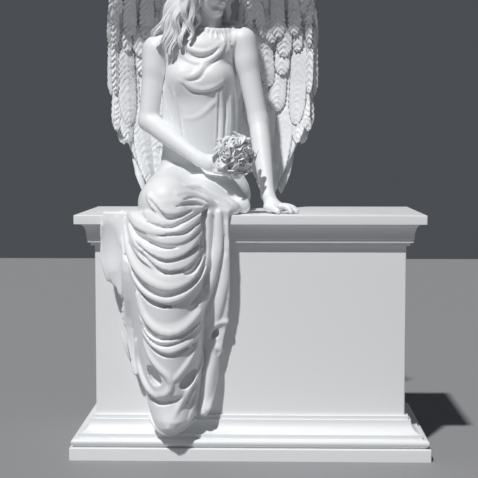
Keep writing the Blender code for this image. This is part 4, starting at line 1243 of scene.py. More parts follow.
    def collar(self) -> None:
        """The gathered neckline round the neck."""
        ring = [
            (-0.205, -0.020, 0.632), (-0.180, -0.038, 0.637), (-0.145, -0.046, 0.632),
            (-0.110, -0.034, 0.630), (-0.078, -0.012, 0.637), (-0.050, 0.010, 0.650),
            (-0.056, 0.050, 0.664), (-0.100, 0.080, 0.674), (-0.150, 0.082, 0.668),
            (-0.195, 0.050, 0.650), (-0.212, 0.010, 0.636), (-0.205, -0.020, 0.632),
        ]
        count = self.collar_points
        line = smooth_line(ring, count)
        number = np.arange(count)
        coarse, fine = self.collar_lumps
        lumps = coarse * np.sin(number * 1.1) + fine * np.sin(number * 2.3 + 1.0)
        self.block.chain(line, self.collar_radius + lumps, blend=0.009)
        middle = line.mean(axis=0)
        for k in range(0, count - 2, self.pleat_spacing):
            out = line[k] - middle
            out[2] = 0.0
            out /= np.linalg.norm(out)
            longer = 1.0 + 0.5 * math.sin(k * 0.8)
            aside = np.array((-out[1], out[0], 0.0)) * self.pleat_lean * math.sin(k * 1.7)
            pleat = [
                line[k] + out * 0.004 + (0.0, 0.0, 0.006),
                line[k] + out * 0.011 + aside / 2 - (0.0, 0.0, 0.004),
                line[k] + out * self.pleat_reach * longer + aside - (0.0, 0.0, self.pleat_reach * longer),
            ]
            radii = np.linspace(*self.pleat_radii, self.pleat_points)
            self.block.chain(smooth_line(pleat, self.pleat_points), radii, blend=0.004)

    def build(self) -> None:
        """Carves the cloth and shows it in two pieces that meet at the waist."""
        self.block = Block(self.box, self.step)
        self.lap()
        self.mantle()
        self.trunk()
        folds = [
            Folds(MANTLE_FOLDS, self.swag_face, seam=0.005, slope=1.0),
            Folds(LAP_FOLDS, self.swag_face, seam=0.010, sink=0.40),
            Folds(GOWN_FOLDS, self.front_face, seam=0.007, sink=0.30),
        ]
        valleys = [Creases(VALLEYS, sink=-0.80, seam=0.012)]
        creases = [
            Creases(MANTLE_CREASES, sink=0.40),
            Creases(HOLLOWS, sink=0.80),
            Creases(GOWN_CREASES, seam=0.004),
        ]
        for layers in (folds, valleys, creases):
            drawn = [layer.draw(self.block) for layer in layers]
            for layer, lines in zip(layers, drawn):
                layer.carve(self.block, lines)
        self.back()
        self.collar()
        corners, quads = shown_skin(self.block)
        above = corners[quads][:, :, 2].mean(axis=1) > self.waist
        for name, part in (("gown", above), ("mantle", ~above)):
            show(quad_mesh(name, corners, quads[part]))


@dataclass
class Arms:
    """Both bare arms with their hands: the right one holds the bouquet, the left one rests on the seat."""

    step: float = 0.0029
    upper: tuple[float, ...] = (0.044, 0.041, 0.038, 0.036, 0.035)
    fore: tuple[float, ...] = (0.034, 0.035, 0.032, 0.027, 0.023)
    right_box: Box = ((-0.42, -0.29, 0.10), (-0.04, 0.075, 0.64))
    left_box: Box = ((-0.15, -0.26, -0.012), (0.18, 0.075, 0.665))
    right_root: Point = (-0.290, 0.018, 0.584)
    left_root: Point = (-0.085, 0.018, 0.600)
    block: Block = field(init=False)

    def arm(self, shoulder: Point, elbow: Point, wrist: Point, root: Point) -> None:
        """Carves an arm down to its wrist.

        Args:
            shoulder: The shoulder's middle.
            elbow: The elbow's middle.
            wrist: The wrist's middle.
            root: Where the shoulder ends under the gown.
        """
        self.block.chain([shoulder, root], (0.046, 0.045), blend=0.03)
        deltoid = 0.75 * np.array(shoulder) + 0.25 * np.array(elbow)
        self.block.ball(deltoid, (0.041, 0.043, 0.060), blend=0.03)
        self.block.chain(smooth_line([shoulder, elbow], 5), self.upper, blend=0.015)
        self.block.chain(smooth_line([elbow, wrist], 5), self.fore, blend=0.012)

    def finger(self, joints: list[np.ndarray], radii: tuple[float, ...]) -> None:
        """Carves one finger with its nail.

        Args:
            joints: Its joints, from the palm to its tip.
            radii: Its radii, spread evenly along it.
        """
        self.block.chain(smooth_line(joints, 10), spread(radii, 10), blend=0.004)
        tip, before = joints[-1], joints[-2]
        way = (tip - before) / np.linalg.norm(tip - before)
        nail = tip + (0.0, 0.0, radii[-1] * 0.85) - way * 0.001
        self.block.ball(nail, (0.0045, 0.0045, 0.0012), blend=0.001)

    def resting_hand(self) -> None:
        """The left hand, flat on the seat, its fingers spread to the side."""
        wrist, palm = np.array(POSE.left_wrist), np.array((0.080, -0.172, 0.022))
        self.block.chain([wrist, palm], (0.022, 0.024), blend=0.012)
        self.block.ball(palm, (0.036, 0.036, 0.020), turned(-20, 0), blend=0.012)
        for number, heading in enumerate((18, 0, -18, -38)):
            way = np.array((math.cos(math.radians(heading)), math.sin(math.radians(heading)), 0.0))
            reach = 0.084 - 0.007 * abs(number - 1.4)
            joints = [palm + way * 0.024 + (0, 0, 0.002), palm + way * 0.040 + (0, 0, 0.003),
                      palm + way * 0.062 + (0, 0, -0.001), palm + way * reach + (0, 0, -0.013)]
            self.finger(joints, (0.0105, 0.0105, 0.0092, 0.0078))
        thumb = [palm + (-0.010, -0.020, 0), palm + (0.002, -0.042, -0.005), palm + (0.014, -0.060, -0.012)]
        self.finger(thumb, (0.013, 0.0115, 0.0090))

    def holding_hand(self) -> None:
        """The right hand, closed round the bouquet's stems."""
        wrist, palm = np.array(POSE.right_wrist), np.array((-0.132, -0.216, 0.172))
        self.block.chain([wrist, palm], (0.022, 0.024), blend=0.012)
        self.block.ball(palm, (0.040, 0.024, 0.030), turned(-22, 0), blend=0.012)
        for number in range(4):
            root = palm + (0.014, -0.014, 0.016 - 0.014 * number)
            joints = [root, root + (0.026, -0.014, -0.004), root + (0.048, -0.008, -0.012)]
            self.finger(joints, (0.010, 0.0092, 0.0075))

    def build(self) -> None:
        """Carves both arms, each in its own block."""
        self.block = Block(self.right_box, self.step)
        self.arm(POSE.right_shoulder, POSE.right_elbow, POSE.right_wrist, self.right_root)
        self.holding_hand()
        show(quad_mesh("right_arm", *shown_skin(self.block)))
        self.block = Block(self.left_box, self.step)
        self.arm(POSE.left_shoulder, POSE.left_elbow, POSE.left_wrist, self.left_root)
        self.resting_hand()
        show(quad_mesh("left_arm", *shown_skin(self.block)))


# Sweeps


class Relief(Enum):
    """What a sweep carves in its skin."""

    FEATHER = "feather"
    LOCK = "lock"


@dataclass
class Spine:
    """The middle line of a feather or a lock, with its half width and the side it faces at each point."""

    points: np.ndarray
    halves: np.ndarray
    faces: np.ndarray

    @property
    def reach(self) -> np.ndarray:
        """How far along the line each point is."""
        return np.append(0.0, np.cumsum(np.linalg.norm(np.diff(self.points, axis=0), axis=1)))


@dataclass
class Sweep:
    """A Geometry Nodes tree that sweeps a flattened round section along spines and carves its relief."""

    relief: Relief
    section_points: int
    flatness: float
    groove_depth: float
    groove_spacing: float
    slant: float = 1.5
    ridge: float = 0.0024
    back_points: int = 3
    unevenness: float = 2.6

    def tree(self) -> bpy.types.NodeTree:
        """The node tree, made once for each relief.

        Returns:
            The tree.
        """
        name = f"{self.relief.value}_sweep"
        if name in bpy.data.node_groups:
            return bpy.data.node_groups[name]
        graph = Graph(bpy.data.node_groups.new(name, "GeometryNodeTree"))
        sizes = ("Flatness", "Groove Depth", "Groove Spacing", "Slant", "Ridge")
        start = graph.open({"Section Points": "Int", **dict.fromkeys(sizes, "Float")})
        curve = graph.node("GeometryNodeMeshToCurve", Mesh=start["Geometry"]).outputs["Curve"]
        curve = graph.node("GeometryNodeSetCurveNormal", {"mode": "FREE"}, Curve=curve,
                           Normal=graph.stored("face", "FLOAT_VECTOR")).outputs["Curve"]
        place = graph.node("GeometryNodeInputPosition").outputs["Position"]
        kept = {"data_type": "FLOAT_VECTOR", "domain": "POINT"}
        marked = graph.node("GeometryNodeStoreNamedAttribute", kept, Geometry=self.section(graph, start),
                            Name="section", Value=place)
        scale = graph.node("ShaderNodeCombineXYZ", X=start["Flatness"], Y=1.0, Z=1.0)
        profile = graph.node("GeometryNodeTransform", Geometry=marked.outputs["Geometry"],
                             Scale=scale.outputs[0])
        swept = graph.node("GeometryNodeCurveToMesh", Curve=curve, Profile_Curve=profile.outputs["Geometry"],
                           Scale=graph.stored("half"), Fill_Caps=True).outputs["Mesh"]
        raised = self.feather_height if self.relief is Relief.FEATHER else self.lock_height
        normal = graph.node("GeometryNodeInputNormal").outputs["Normal"]
        offset = graph.node("ShaderNodeVectorMath", {"operation": "SCALE"}, in_0=normal,
                            Scale=raised(graph, start))
        shaped = graph.node("GeometryNodeSetPosition", Geometry=swept, Offset=offset.outputs[0])
        smooth = graph.node("GeometryNodeSetShadeSmooth", Geometry=shaped.outputs["Geometry"],
                            Shade_Smooth=True)
        graph.close(smooth.outputs["Geometry"], start["Material"])
        return graph.tree

    def section(self, graph: Graph, start: bpy.types.NodeOutputs) -> bpy.types.NodeSocket:
        """The section: round for a lock, and with points spread evenly across the front for a feather.

        Args:
            graph: The tree being written.
            start: The tree's inputs.

        Returns:
            The section's curve.
        """
        circle = graph.node("GeometryNodeCurvePrimitiveCircle", Resolution=start["Section Points"],
                            Radius=1.0)
        if self.relief is Relief.LOCK:
            return circle.outputs["Curve"]
        index = Value(graph, graph.node("GeometryNodeInputIndex").outputs["Index"])
        front = Value(graph, start["Section Points"]) - self.back_points
        ahead = graph.math("LESS_THAN", index, front - 0.5)
        before = index * 2.0 / (front - 1.0) - 1.0
        behind = 1.0 - (index - front + 1.0) * 2.0 / (self.back_points + 1)
        across = ahead * before + (1.0 - ahead) * behind
        thick = graph.math("SQRT", graph.above_zero(1.0 - across * across)) * (ahead * 1.6 - 0.6)
        place = graph.node("ShaderNodeCombineXYZ", X=thick, Y=across)
        moved = graph.node("GeometryNodeSetPosition", Geometry=circle.outputs["Curve"],
                           Position=place.outputs[0])
        return moved.outputs["Geometry"]

    def on_section(self, graph: Graph) -> tuple[Value, Value]:
        """Where the swept skin lies on its section: through its thickness, and across."""
        parts = graph.node("ShaderNodeSeparateXYZ", Vector=graph.stored("section", "FLOAT_VECTOR")).outputs
        return Value(graph, parts["X"]), Value(graph, parts["Y"])

    def feather_height(self, graph: Graph, start: bpy.types.NodeOutputs) -> Value:
        """How far a feather's skin is raised by its barbs and its shaft.

        Args:
            graph: The tree being written.
            start: The tree's inputs.

        Returns:
            The height over the skin, in metres.
        """
        aside = graph.math("ABSOLUTE", self.on_section(graph)[1])
        uneven = graph.noise(graph.node("GeometryNodeInputPosition").outputs["Position"], 11.0, 2.0)
        uneven = uneven * self.unevenness
        along_barb = graph.stored("reach") - aside * graph.stored("half") * start["Slant"]
        barb = graph.math("FRACT", along_barb / start["Groove Spacing"] + uneven)
        barb = graph.math("MINIMUM", barb * 1.4, (1.0 - barb) * 3.5)
        vane = graph.math("MINIMUM", aside * 5.0, 1.0)
        shaft = graph.above_zero(1.0 - aside * 7.0) * start["Ridge"]
        return (barb - 0.5) * vane * start["Groove Depth"] * (uneven + 0.7) + shaft

    def lock_height(self, graph: Graph, start: bpy.types.NodeOutputs) -> Value:
        """How far a lock's skin is raised by its twisted strands.

        Args:
            graph: The tree being written.
            start: The tree's inputs.

        Returns:
            The height over the skin, in metres.
        """
        thick, across = self.on_section(graph)
        angle = graph.math("ARCTAN2", across, thick)
        twist = graph.stored("reach") / start["Groove Spacing"]
        strands = graph.math("SINE", angle * 5.0 + twist)
        fine = graph.math("SINE", angle * 11.0 - twist * 1.7)
        thin_end = graph.math("MINIMUM", graph.stored("half") * 90.0, 1.0)
        return (strands * 0.7 + fine * 0.3) * start["Groove Depth"] * thin_end

    def mesh(self, name: str, spines: list[Spine]) -> bpy.types.Mesh:
        """Sweeps all spines into one mesh.

        Args:
            name: The mesh's name.
            spines: The spines, in metres above the seat.

        Returns:
            The mesh, in its place.
        """
        lines = bpy.data.meshes.new(f"{name}_spines")
        points = np.vstack([spine.points for spine in spines]) + (0.0, 0.0, SEAT)
        edges, first = [], 0
        for spine in spines:
            last = first + len(spine.points) - 1
            edges += [(i, i + 1) for i in range(first, last)]
            first = last + 1
        lines.from_pydata(points.tolist(), edges, [])
        store(lines, "half", np.concatenate([spine.halves for spine in spines]))
        store(lines, "reach", np.concatenate([spine.reach for spine in spines]))
        store(lines, "face", np.vstack([spine.faces for spine in spines]))
        swept = grown(name, lines, self.tree(), Section_Points=self.section_points, Flatness=self.flatness,
                      Groove_Depth=self.groove_depth, Groove_Spacing=self.groove_spacing, Slant=self.slant,
                      Ridge=self.ridge)
        for label in ("half", "reach", "face", "section"):
            if label in swept.attributes:
                swept.attributes.remove(swept.attributes[label])
        return swept


# Head


@dataclass
class Head:
    """Face and neck, looking down to her left. Its own places are (towards her left, ahead, up)."""

    step: float = 0.0021
    box: Box = ((-0.27, -0.16, 0.56), (0.03, 0.12, 0.925))
    block: Block = field(init=False)

    @staticmethod
    def on(hand: int, places: list[Point]) -> list[Point]:
        """Places of the head on one side: hand is 1 for her left and -1 for her right."""
        return [(hand * side, ahead, up) for side, ahead, up in places]

    def form(self, place: Point, radii: Point, blend: float = 0.01, away: bool = False) -> None:
        """Joins or cuts away an ellipsoid.

        Args:
            place: Its middle, a place of the head.
            radii: Its half widths along the head's axes.
            blend: The width of its seam.
            away: Whether it is cut away.
        """
        self.block.ball(POSE.on_head(*place), radii, POSE.head_axes, blend, away)

    def ridge(
        self,
        places: list[Point],
        radii: tuple[float, ...],
        blend: float = 0.006,
        away: bool = False,
        smooth: int = 9,
    ) -> None:
        """Joins or cuts away a rod.

        Args:
            places: Places of the head that it goes through.
            radii: Its radii, spread evenly along it.
            blend: The width of its seam.
            away: Whether it is cut away.
            smooth: How many points it has.
        """
        line = smooth_line([POSE.on_head(*place) for place in places], smooth)
        self.block.chain(line, spread(radii, smooth), blend, away=away)

    def skull(self) -> None:
        """Skull, cheeks, jaw and forehead."""
        self.form((0, -0.010, 0.028), (0.074, 0.098, 0.084), 0.02)
        self.form((0, 0.022, -0.030), (0.060, 0.064, 0.080), 0.03)
        self.form((0, 0.052, 0.046), (0.052, 0.040, 0.040), 0.02)
        for hand in (-1, 1):
            self.form((hand * 0.038, 0.056, -0.020), (0.022, 0.024, 0.024), 0.016)
            self.form((hand * 0.034, 0.052, -0.052), (0.024, 0.026, 0.030), 0.018)
            angle, corner = (hand * 0.058, -0.004, -0.052), (hand * 0.046, 0.030, -0.086)
            self.ridge([angle, corner, (hand * 0.012, 0.070, -0.102)], (0.012, 0.012, 0.013), 0.02)
        self.form((0, 0.078, -0.096), (0.019, 0.016, 0.017), 0.014)

    def eyes(self) -> None:
        """Sockets, brows and lowered lids."""
        for hand in (-1, 1):
            self.form((hand * 0.031, 0.097, 0.000), (0.019, 0.014, 0.011), 0.012, away=True)
            brow = [(hand * 0.010, 0.090, 0.016), (hand * 0.030, 0.091, 0.024), (hand * 0.052, 0.070, 0.017)]
            self.ridge(brow, (0.0050, 0.0055, 0.0045), 0.010)
            self.form((hand * 0.031, 0.075, -0.001), (0.0150, 0.0140, 0.0125), 0.003)
            lid = [(0.016, 0.0835, -0.0065), (0.031, 0.0895, -0.0090), (0.045, 0.0800, -0.0062)]
            self.ridge(self.on(hand, lid), (0.0006, 0.0013, 0.0007), 0.0012, away=True)
            lashes = [(0.016, 0.0840, -0.0050), (0.031, 0.0905, -0.0073), (0.046, 0.0805, -0.0047)]
            self.ridge(self.on(hand, lashes), (0.0009, 0.0014, 0.0010), 0.0012)
            fold = [(0.018, 0.0840, 0.0085), (0.031, 0.0885, 0.0102), (0.044, 0.0805, 0.0082)]
            self.ridge(self.on(hand, fold), (0.0008, 0.0014, 0.0008), 0.0018, away=True)

    def nose(self) -> None:
        """Bridge, tip, wings and nostrils."""
        bridge = [(0, 0.086, 0.014), (0, 0.096, -0.012), (0, 0.108, -0.032)]
        self.ridge(bridge, (0.0070, 0.0072, 0.0086), 0.008)
        self.form((0, 0.107, -0.034), (0.0090, 0.0080, 0.0078), 0.004)
        for hand in (-1, 1):
            self.form((hand * 0.0105, 0.0970, -0.0385), (0.0066, 0.0085, 0.0058), 0.004)
            self.form((hand * 0.0055, 0.1010, -0.0440), (0.0028, 0.0040, 0.0026), 0.0015, away=True)

    def mouth(self) -> None:
        """Closed lips and the hollows round them."""
        self.form((0, 0.078, -0.066), (0.024, 0.018, 0.016), 0.012)
        for hand in (-1, 1):
            upper = [(hand * 0.022, 0.0835, -0.0672), (hand * 0.010, 0.0935, -0.0632), (0, 0.0955, -0.0645)]
            self.ridge(upper, (0.0016, 0.0034, 0.0034), 0.003)
            lower = [(hand * 0.020, 0.0835, -0.0700), (hand * 0.009, 0.0925, -0.0735), (0, 0.0940, -0.0740)]
            self.ridge(lower, (0.0018, 0.0042, 0.0044), 0.003)
            self.form((hand * 0.0250, 0.0820, -0.0685), (0.0030, 0.0030, 0.0030), 0.003, away=True)
        line = [
            (-0.0225, 0.0850, -0.0680), (-0.010, 0.0962, -0.0682), (0, 0.0975, -0.0690),
            (0.010, 0.0962, -0.0682), (0.0225, 0.0850, -0.0680),
        ]
        self.ridge(line, (0.0007, 0.0010, 0.0010, 0.0010, 0.0007), 0.0016, away=True, smooth=15)
        self.form((0, 0.0975, -0.0555), (0.0026, 0.0030, 0.0060), 0.004, away=True)
        self.form((0, 0.0975, -0.0830), (0.0140, 0.0060, 0.0040), 0.008, away=True)

    def neck(self) -> None:
        """The neck with its slanting muscles and the hollow at its base."""
        line = [(-0.168, 0.032, 0.580), (-0.160, 0.016, 0.655), (-0.152, 0.002, 0.740)]
        self.block.chain(smooth_line(line, 9), np.linspace(0.060, 0.049, 9), blend=0.02)
        muscles = (
            [(-0.168, -0.028, 0.622), (-0.190, -0.030, 0.745)],
            [(-0.140, -0.026, 0.622), (-0.112, 0.040, 0.745)],
        )
        for muscle in muscles:
            self.block.chain(smooth_line(muscle, 5), (0.009, 0.010, 0.012, 0.012, 0.011), blend=0.012)

    def build(self) -> None:
        """Carves the head."""
        self.block = Block(self.box, self.step)
        self.neck()
        self.skull()
        self.mouth()
        self.nose()
        self.eyes()
        show(quad_mesh("head", *shown_skin(self.block)))


@dataclass
class Hair:
    """Long wavy locks, parted on top, over her right shoulder and down her back."""

    seed: int = 7
    strand_points: int = 34
    scalp_locks: int = 23
    scalp_points: int = 18
    scalp_radii: Point = (0.080, 0.104, 0.090)
    scalp_middle: Point = (0.0, -0.012, 0.030)
    scalp_half: float = 0.0092
    scalp_lift: float = 0.022
    lock_wave: float = 0.0075
    lock_bends: tuple[float, float] = (17.0, 22.0)
    strand_wave: float = 0.0038
    strand_bends: tuple[float, float] = (16.0, 26.0)
    strand_widths: tuple[float, float] = (0.28, 0.40)
    strand_cut: float = 0.22
    starts: tuple[float, float] = (0.0, 6.3)
    neck: Point = (-0.15, 0.02, 0.0)
    sweep: Sweep = field(default_factory=lambda: Sweep(
        Relief.LOCK, section_points=10, flatness=0.75, groove_depth=0.0015, groove_spacing=0.034))
    # Each lock's radius, how many strands it has, and its guide above the seat
    guides: tuple[tuple[float, int, tuple[Point, ...]], ...] = (
        (0.024, 12, ((-0.17, 0.02, 0.908), (-0.232, 0.005, 0.85), (-0.272, 0.0, 0.75),
            (-0.312, 0.0, 0.665), (-0.352, 0.005, 0.6))),
        (0.024, 12, ((-0.165, -0.005, 0.912), (-0.226, -0.03, 0.84), (-0.26, -0.04, 0.74),
            (-0.292, -0.044, 0.65), (-0.322, -0.04, 0.58))),
        (0.023, 12, ((-0.16, -0.02, 0.91), (-0.22, -0.06, 0.82), (-0.25, -0.07, 0.73),
            (-0.274, -0.072, 0.64), (-0.3, -0.058, 0.555))),
        (0.021, 11, ((-0.155, -0.03, 0.908), (-0.21, -0.086, 0.81), (-0.238, -0.09, 0.72),
            (-0.258, -0.082, 0.64), (-0.274, -0.07, 0.548))),
        (0.018, 11, ((-0.15, -0.04, 0.904), (-0.2, -0.104, 0.8), (-0.224, -0.1, 0.71),
            (-0.232, -0.086, 0.645), (-0.242, -0.09, 0.572))),
        (0.015, 9, ((-0.145, -0.045, 0.902), (-0.186, -0.112, 0.8), (-0.202, -0.103, 0.715),
            (-0.205, -0.09, 0.65), (-0.214, -0.094, 0.596))),
        (0.012, 8, ((-0.142, -0.048, 0.9), (-0.176, -0.112, 0.8), (-0.185, -0.098, 0.735),
            (-0.184, -0.082, 0.68), (-0.196, -0.074, 0.632))),
        (0.02, 9, ((-0.14, -0.03, 0.91), (-0.095, -0.05, 0.892), (-0.068, -0.02, 0.83),
            (-0.076, 0.03, 0.77), (-0.105, 0.06, 0.71))),
        (0.026, 11, ((-0.145, 0.0, 0.915), (-0.1, 0.01, 0.89), (-0.078, 0.04, 0.81),
            (-0.092, 0.075, 0.73), (-0.115, 0.095, 0.65))),
        (0.03, 11, ((-0.155, 0.02, 0.912), (-0.132, 0.065, 0.855), (-0.126, 0.09, 0.77),
            (-0.132, 0.105, 0.67), (-0.132, 0.125, 0.56))),
        (0.032, 11, ((-0.165, 0.02, 0.912), (-0.184, 0.065, 0.85), (-0.19, 0.085, 0.76),
            (-0.186, 0.11, 0.66), (-0.182, 0.13, 0.54))),
        (0.028, 10, ((-0.16, 0.02, 0.912), (-0.158, 0.078, 0.858), (-0.158, 0.1, 0.775),
            (-0.158, 0.116, 0.67), (-0.157, 0.132, 0.545))),
        (0.03, 11, ((-0.17, 0.01, 0.91), (-0.222, 0.05, 0.84), (-0.244, 0.075, 0.75),
            (-0.25, 0.1, 0.66), (-0.242, 0.12, 0.56))),
    )

    def strands(self) -> list[Spine]:
        """Strands spread about their locks' guides, each with its own wave.

        Returns:
            Their spines.
        """
        chance = np.random.default_rng(self.seed)
        spines = []
        share = np.linspace(0.0, 1.0, self.strand_points)
        for radius, count, guide in self.guides:
            line = smooth_line(list(guide), self.strand_points)
            bend = np.sin(share * chance.uniform(*self.lock_bends) + chance.uniform(*self.starts))
            bend = bend * share**0.5
            line = line + self.lock_wave * bend[:, None] * np.array((1.0, 0.5, 0.0))
            spines.append(self.strand(line, radius * 0.90 * (1.0 - 0.55 * share**3)))
            for number in range(count):
                angle = 2 * math.pi * (number + 0.3 * chance.random()) / count
                away = radius * (0.30 + 0.55 * chance.random())
                offset = np.array((math.cos(angle) * away, math.sin(angle) * away, 0.0))
                wave = np.sin(share * chance.uniform(*self.strand_bends) + chance.uniform(*self.starts))
                wave = self.strand_wave * wave * share**0.5
                sway = np.stack([wave, 0.7 * np.roll(wave, 3), np.zeros_like(wave)], axis=1)
                stop = 1.0 - self.strand_cut * chance.random()
                points = line + offset * (0.55 + 0.45 * share[:, None]) + sway
                points = smooth_line(points[: max(6, int(stop * self.strand_points))], self.strand_points)
                width = radius * chance.uniform(*self.strand_widths)
                halves = width * (0.75 + 0.45 * np.sin(math.pi * share)) * np.sqrt(1.0 - 0.97 * share**3)
                spines.append(self.strand(points, halves))
        return spines

    def strand(self, points: np.ndarray, halves: np.ndarray) -> Spine:
        """One strand's spine, which faces away from the neck.

        Args:
            points: Its points above the seat.
            halves: Its half width at each point.

        Returns:
            The spine.
        """
        faces = points - np.array(self.neck)
        faces[:, 2] = 0.0
        faces /= np.linalg.norm(faces, axis=1)[:, None]
        return Spine(points, halves, faces)

    def scalp(self) -> list[Spine]:
        """Flat locks over the skull, from the parting down to both sides and the nape.

        Returns:
            Their spines.
        """
        radii, middle = np.array(self.scalp_radii), np.array(self.scalp_middle)
        spines = []
        for hand in (-1, 1):
            for number in range(self.scalp_locks):
                start = 0.90 - 1.72 * number / (self.scalp_locks - 1)
                share = np.linspace(0.0, 1.0, self.scalp_points)
                fall = np.radians(4 + share * (98 - 14 * abs(start)))
                back = start - 0.75 * share**1.3 * (0.4 + 0.6 * (start + 1) / 2)
                back = np.clip(back + 0.035 * np.sin(share * 8.0 + number * 1.3) * share, -0.98, 0.92)
                level = np.sqrt(1.0 - back**2)
                places = np.stack([hand * level * np.sin(fall), back, level * np.cos(fall)], axis=1)
                out = places / radii
                out /= np.linalg.norm(out, axis=1)[:, None]
                raised = radii * (1.0 + self.scalp_lift * math.sin(number * 2.4))
                points = np.array([POSE.on_head(*(middle + place * raised)) for place in places])
                faces = np.array([POSE.head_axes @ np.array((n[0], -n[1], n[2])) for n in out])
                halves = self.scalp_half * (0.8 + 0.3 * np.sin(math.pi * share))
                spines.append(Spine(points, halves, faces))
        return spines

    def build(self) -> None:
        """Sweeps the hair."""
        show(self.sweep.mesh("hair", self.scalp() + self.strands()))


# Wings


